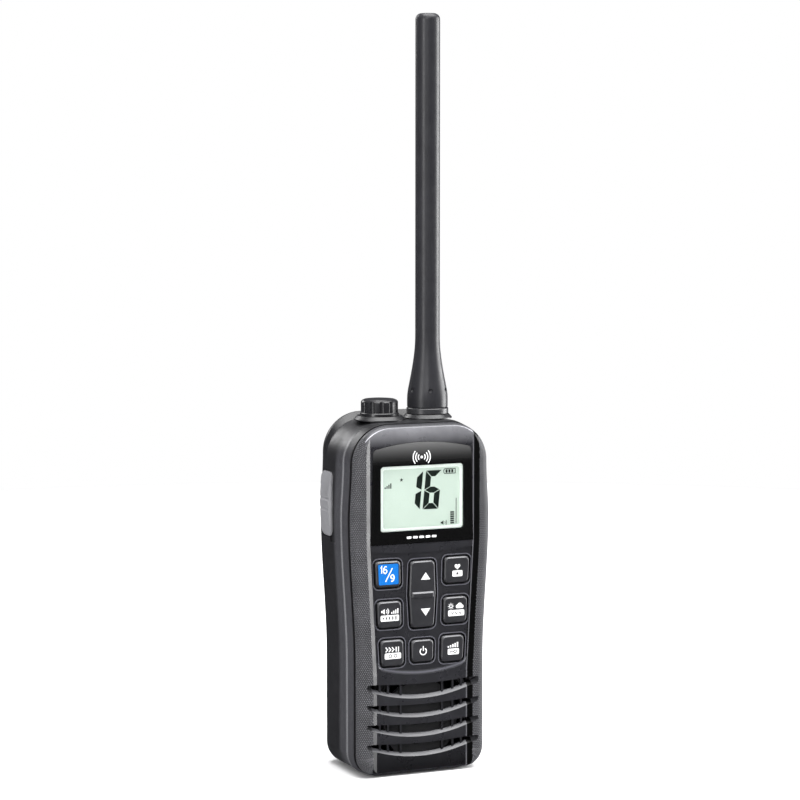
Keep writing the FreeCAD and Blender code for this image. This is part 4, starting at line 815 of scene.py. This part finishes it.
def display_marks():
    """Segments and symbols on the display."""
    u = MM
    zc = middle("lcd_panel").z
    ink = Ink(lcd_front)
    digit_low = zc - 4.9 * u
    digit_height = 15.4 * u
    for left, width, lit in ((-6.35, 5.8, "bc"), (0.7, 6.8, "acdefg")):
        for outline in seven_segments(left * u, digit_low, width * u, digit_height, 2.4 * u, 0.10, lit):
            ink.fill(outline)
    battery_z = zc + 9.9 * u
    battery = [(9.9 * u, battery_z - 0.45 * u), (10.3 * u, battery_z - 0.95 * u),
               (14.9 * u, battery_z - 0.95 * u), (14.9 * u, battery_z + 0.95 * u),
               (10.3 * u, battery_z + 0.95 * u), (9.9 * u, battery_z + 0.45 * u)]
    ink.line(battery, 0.28 * u, closed=True)
    for i in range(3):
        ink.fill(rounded_box((11.1 + 1.25 * i) * u, battery_z, 0.85 * u, 1.3 * u, 0.1 * u))
    ink.fill(star(-8.4 * u, zc + 7.3 * u, 0.85 * u))
    bars_x = -15.6 * u
    for i in range(4):
        tall = (0.6 + 0.5 * i) * u
        left = bars_x + 0.8 * i * u
        ink.fill(bar(left, zc + 4.1 * u, 0.5 * u, tall))
    speaker_x = 8.6 * u
    speaker_z = zc - 10.6 * u
    ink.fill([(speaker_x, speaker_z - 0.35 * u), (speaker_x + 0.5 * u, speaker_z - 0.35 * u),
              (speaker_x + 1.2 * u, speaker_z - 0.9 * u), (speaker_x + 1.2 * u, speaker_z + 0.9 * u),
              (speaker_x + 0.5 * u, speaker_z + 0.35 * u), (speaker_x, speaker_z + 0.35 * u)])
    for radius in (0.7, 1.3):
        ink.line(arc(speaker_x + 1.3 * u, speaker_z, radius * u, -45, 45), 0.24 * u)
    for i in range(6):
        ink.fill(rounded_box(13.6 * u, zc + (-10.9 + 0.86 * i) * u, 1.7 * u, 0.62 * u, 0.08 * u))
    ink.line([(15.3 * u, zc - 11.2 * u), (15.3 * u, zc - 1.0 * u)], 0.28 * u)
    ink.done("display_marks", RADIO, light=dark_ink)


def solid_from(node, name):
    """A loose copy of a CAD node's mesh."""
    obj = bpy.data.objects.new(name, nodes[node].data.copy())
    bpy.context.collection.objects.link(obj)
    return obj


def boolean_mesh(base, cutter, operation, name):
    """Mesh of base combined with cutter."""
    modifier = base.modifiers.new(operation, "BOOLEAN")
    modifier.operation = operation
    modifier.object = cutter
    modifier.solver = "EXACT"
    graph = bpy.context.evaluated_depsgraph_get()
    mesh = bpy.data.meshes.new_from_object(base.evaluated_get(graph))
    mesh.name = name
    base.modifiers.remove(modifier)
    return mesh


def display_lens():
    """The lens in two pieces: the black printed surround and the clear window."""
    border = 0.35 * MM
    window_low, window_high = low("lcd_frame"), high("lcd_frame")
    outline = rounded_box(0, middle("lcd_frame").z, window_high.x - window_low.x + border,
                          window_high.z - window_low.z + border, 1.3 * MM, 6)
    builder = bmesh.new()
    extrude_outline(builder, outline, lens_front - MM, high("display_lens").y + MM)
    cutter = bpy.data.objects.new("cutter", finish_mesh(builder, "cutter"))
    bpy.context.collection.objects.link(cutter)
    base = solid_from("display_lens", "lens_base")
    surround = boolean_mesh(base, cutter, "DIFFERENCE", "lens_surround")
    window = boolean_mesh(base, cutter, "INTERSECT", "lens_window")
    for obj in (base, cutter):
        bpy.data.objects.remove(obj)
    for mesh, material in ((surround, materials["lens"]), (window, window_material)):
        mesh.materials.clear()
        piece = add_object(mesh.name, mesh, material, RADIO)
        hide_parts("display_lens")


def emblem():
    """A plain radio-wave mark above the display and a row of dashes below it."""
    x = -0.4 * MM
    z = (lens_high_z + high("lcd_frame").z) / 2 - 1.3 * MM
    ink = Ink(lens_front)
    disc(ink.light, x, z, 0.55 * MM, lens_front - INK, lens_front + INK)
    for radius in (1.5, 2.6, 3.7):
        for start in (-42, 138):
            ink.line(arc(x, z, radius * MM, start, start + 84, 14), 0.42 * MM)
    dash_z = lens_low_z + 2.4 * MM
    for i in range(5):
        ink.fill(rounded_box(x + (i - 2) * 2.7 * MM, dash_z, 2.0 * MM, 0.9 * MM, 0.3 * MM))
    ink.done("lens_mark", RADIO)


# ---- dotted grips ----
DOT_PITCH = 0.84 * MM
DOT_RADIUS = 0.27 * MM
DOT_HEIGHT = 0.14 * MM
DOT_SUNK = 0.02 * MM        # the dots start this far under the surface
DOT_ROOT_MM = 0.03          # and their closed underside ends this far under it
DOT_SIDES = 6
DOT_CAST_MM = 0.6           # a dot's place is looked for from this far outside
DOT_CAST_REACH = 0.9 * MM
DOT_AGREES = 0.93           # least agreement of the face found with the wanted direction
ROW_PITCH = DOT_PITCH * 0.866
GRIP_ROUND = 3.9 * MM       # radius of the grips' front edge
GRIP_FLAT = 9 * MM          # dots reach this far past the round edge
GRIP_BACK_GAP = 0.25 * MM   # plain strip along the grips' back edge
GRIP_INNER = 15 * MM        # nothing nearer the middle than this is a grip's outer side
OUTLINE_RAYS = 720
OUTLINE_BREAK = 5 * MM      # a longer step between two points is a gap in the outline


def grip_outline(tree, side, y, centre_z, reach):
    """Points on the outer outline of a grip at depth y, found by casting rays inwards."""
    found = []
    for step in range(OUTLINE_RAYS + 1):
        angle = math.radians(-89.5 + 179 * step / OUTLINE_RAYS)
        direction = Vector((side * math.cos(angle), 0, math.sin(angle)))
        start = Vector((0, y, centre_z)) + direction * reach
        hit, normal, _, _ = tree.ray_cast(start, -direction, reach)
        if hit is not None and normal.dot(direction) > 0.2 and abs(hit.x) > GRIP_INNER:
            found.append(hit)
    return found


def evenly(points, pitch):
    """Points at equal spacing along a polyline, each with its direction."""
    out = []
    carried = 0.0
    for a, b in zip(points, points[1:]):
        length = (b - a).length
        if length > OUTLINE_BREAK or length < 1e-9:
            continue
        while carried <= length:
            out.append((a.lerp(b, carried / length), (b - a).normalized()))
            carried += pitch
        carried -= length
    return out


def grip_dots(node, side):
    """Small domes on a grip's surface, in staggered rows that follow its outline."""
    mesh = nodes[node].data
    tree = BVHTree.FromPolygons([v.co for v in mesh.vertices], [p.vertices for p in mesh.polygons])
    y_front = low(node).y
    y_back = high(node).y
    edge = grip_outline(tree, side, y_back - 0.1 * MM, middle(node).z, 200 * MM)
    builder = bmesh.new()
    curved = GRIP_ROUND * math.pi / 2
    for row, (point, along) in enumerate(evenly(edge, ROW_PITCH)):
        normal = Vector((along.z, 0, -along.x))
        if normal.x * side < 0:
            normal.negate()
        offset = DOT_PITCH / 2 if row % 2 else 0.0
        travel = offset - 0.3 * MM
        while travel < curved + GRIP_FLAT:
            if travel < 0:
                target = point.copy()
                target.y = y_front + GRIP_ROUND - travel
                outward = normal.copy()
            elif travel < curved:
                angle = math.pi / 2 - travel / GRIP_ROUND
                target = point - normal * GRIP_ROUND * (1 - math.sin(angle))
                target.y = y_front + GRIP_ROUND * (1 - math.cos(angle))
                outward = normal * math.sin(angle) + Vector((0, -1, 0)) * math.cos(angle)
            else:
                target = point - normal * (GRIP_ROUND + travel - curved)
                target.y = y_front
                outward = Vector((0, -1, 0))
            travel += DOT_PITCH
            start = target + outward * DOT_CAST_MM * MM
            hit, face_normal, _, _ = tree.ray_cast(start, -outward, DOT_CAST_REACH)
            if hit is None or face_normal.dot(outward) < DOT_AGREES:
                continue
            if hit.y > y_back - GRIP_BACK_GAP:
                continue
            add_dot(builder, hit, face_normal)
    name = node + "_dots"
    mesh = finish_mesh(builder, name)
    for face in mesh.polygons:
        face.use_smooth = True
    add_object(name, mesh, dot_rubber, RADIO)


def add_dot(builder, centre, normal):
    """A closed six-sided dome."""
    side = normal.orthogonal().normalized()
    other = normal.cross(side)
    rings = []
    for radius, height in ((DOT_RADIUS, -DOT_SUNK), (DOT_RADIUS * 0.72, DOT_HEIGHT * 0.7)):
        ring_verts = []
        for i in range(DOT_SIDES):
            angle = 2 * math.pi * i / DOT_SIDES
            ring_verts.append(builder.verts.new(centre + side * radius * math.cos(angle)
                                                + other * radius * math.sin(angle) + normal * height))
        rings.append(ring_verts)
    top = builder.verts.new(centre + normal * DOT_HEIGHT)
    bottom = builder.verts.new(centre - normal * DOT_ROOT_MM * MM)
    for i in range(DOT_SIDES):
        j = (i + 1) % DOT_SIDES
        builder.faces.new((rings[0][i], rings[0][j], rings[1][j], rings[1][i]))
        builder.faces.new((rings[1][i], rings[1][j], top))
        builder.faces.new((rings[0][j], rings[0][i], bottom))


# ---- stage: floor, lights, camera ----
VIEW_AZIMUTH = math.radians(23.5)
VIEW_ELEVATION = math.radians(5.4)
CAMERA_PLACE = Vector((-0.4075, -0.93315, 0.2442))
CAMERA_LENS = 115.2
FLOOR_RADIUS = 0.9
LIGHT_AIM = Vector((0, 0, 0.09))
LIGHTS = (      # name, place, width, height (none: square), watts
    ("top_softbox", (0.15, -0.15, 1.25), 1.4, None, 46),
    ("left_strip", (-1.0, -0.55, 0.2), 0.16, 0.9, 6.5),
    ("right_softbox", (1.05, -0.05, 0.2), 0.6, 0.9, 19),
    ("back_strip", (-0.35, 1.1, 0.7), 0.25, 0.7, 4),
    ("front_fill", (-0.9, -1.5, 0.9), 0.8, None, 9),
)


def area_light(name, place, size, height, watts):
    data = bpy.data.lights.new(name, "AREA")
    data.energy = watts
    data.size = size
    if height:
        data.shape = "RECTANGLE"
        data.size_y = height
    light = bpy.data.objects.new(name, data)
    light.location = place
    light.rotation_mode = "QUATERNION"
    light.rotation_quaternion = (LIGHT_AIM - Vector(place)).to_track_quat("-Z", "Y")
    bpy.context.collection.objects.link(light)


def stage():
    """Pale floor, surroundings that look white but light the object only dimly, and the lights."""
    floor_material, tree, shader = new_material("stage_floor")
    shader.inputs["Roughness"].default_value = 0.9
    shader.inputs["Specular IOR Level"].default_value = 0.2
    shade = spread(tree, noise(tree, 0.3, 2), 0, 1)
    link(tree, blend_colours(tree, shade, (0.88, 0.88, 0.88), (0.9, 0.9, 0.9)), shader.inputs["Base Color"])
    builder = bmesh.new()
    bmesh.ops.create_circle(builder, cap_ends=True, segments=96, radius=FLOOR_RADIUS)
    floor = bpy.data.objects.new("floor", finish_mesh(builder, "floor"))
    floor.location.z = cad_low.z
    floor.data.materials.append(floor_material)
    bpy.context.collection.objects.link(floor)
    floor.visible_glossy = False

    world = bpy.data.worlds.new("studio")
    bpy.context.scene.world = world
    world.use_nodes = True
    tree = world.node_tree
    background = tree.nodes["Background"]
    seen = tree.nodes.new("ShaderNodeLightPath").outputs["Is Camera Ray"]
    link(tree, blend_colours(tree, seen, (0.10, 0.10, 0.11), (1, 1, 1)), background.inputs["Color"])
    background.inputs["Strength"].default_value = 1.0

    for light in LIGHTS:
        area_light(*light)


def camera():
    data = bpy.data.cameras.new("camera")
    data.lens = CAMERA_LENS
    data.sensor_width = 36
    obj = bpy.data.objects.new("camera", data)
    level = math.cos(VIEW_ELEVATION)
    look = Vector((math.sin(VIEW_AZIMUTH) * level, math.cos(VIEW_AZIMUTH) * level,
                   -math.sin(VIEW_ELEVATION)))
    obj.location = CAMERA_PLACE
    obj.rotation_mode = "QUATERNION"
    obj.rotation_quaternion = look.to_track_quat("-Z", "Y")
    bpy.context.collection.objects.link(obj)
    bpy.context.scene.camera = obj


camera()
stage()
dress_nodes()
display_lens()
display_marks()
emblem()
for legend in (legend_sixteen, legend_volume, legend_scan, legend_favourite,
               legend_channel, legend_lock, legend_power, legend_rocker):
    legend()
grip_dots("grip_left", -1)
grip_dots("grip_right", 1)
bpy.context.scene.view_settings.view_transform = "Standard"
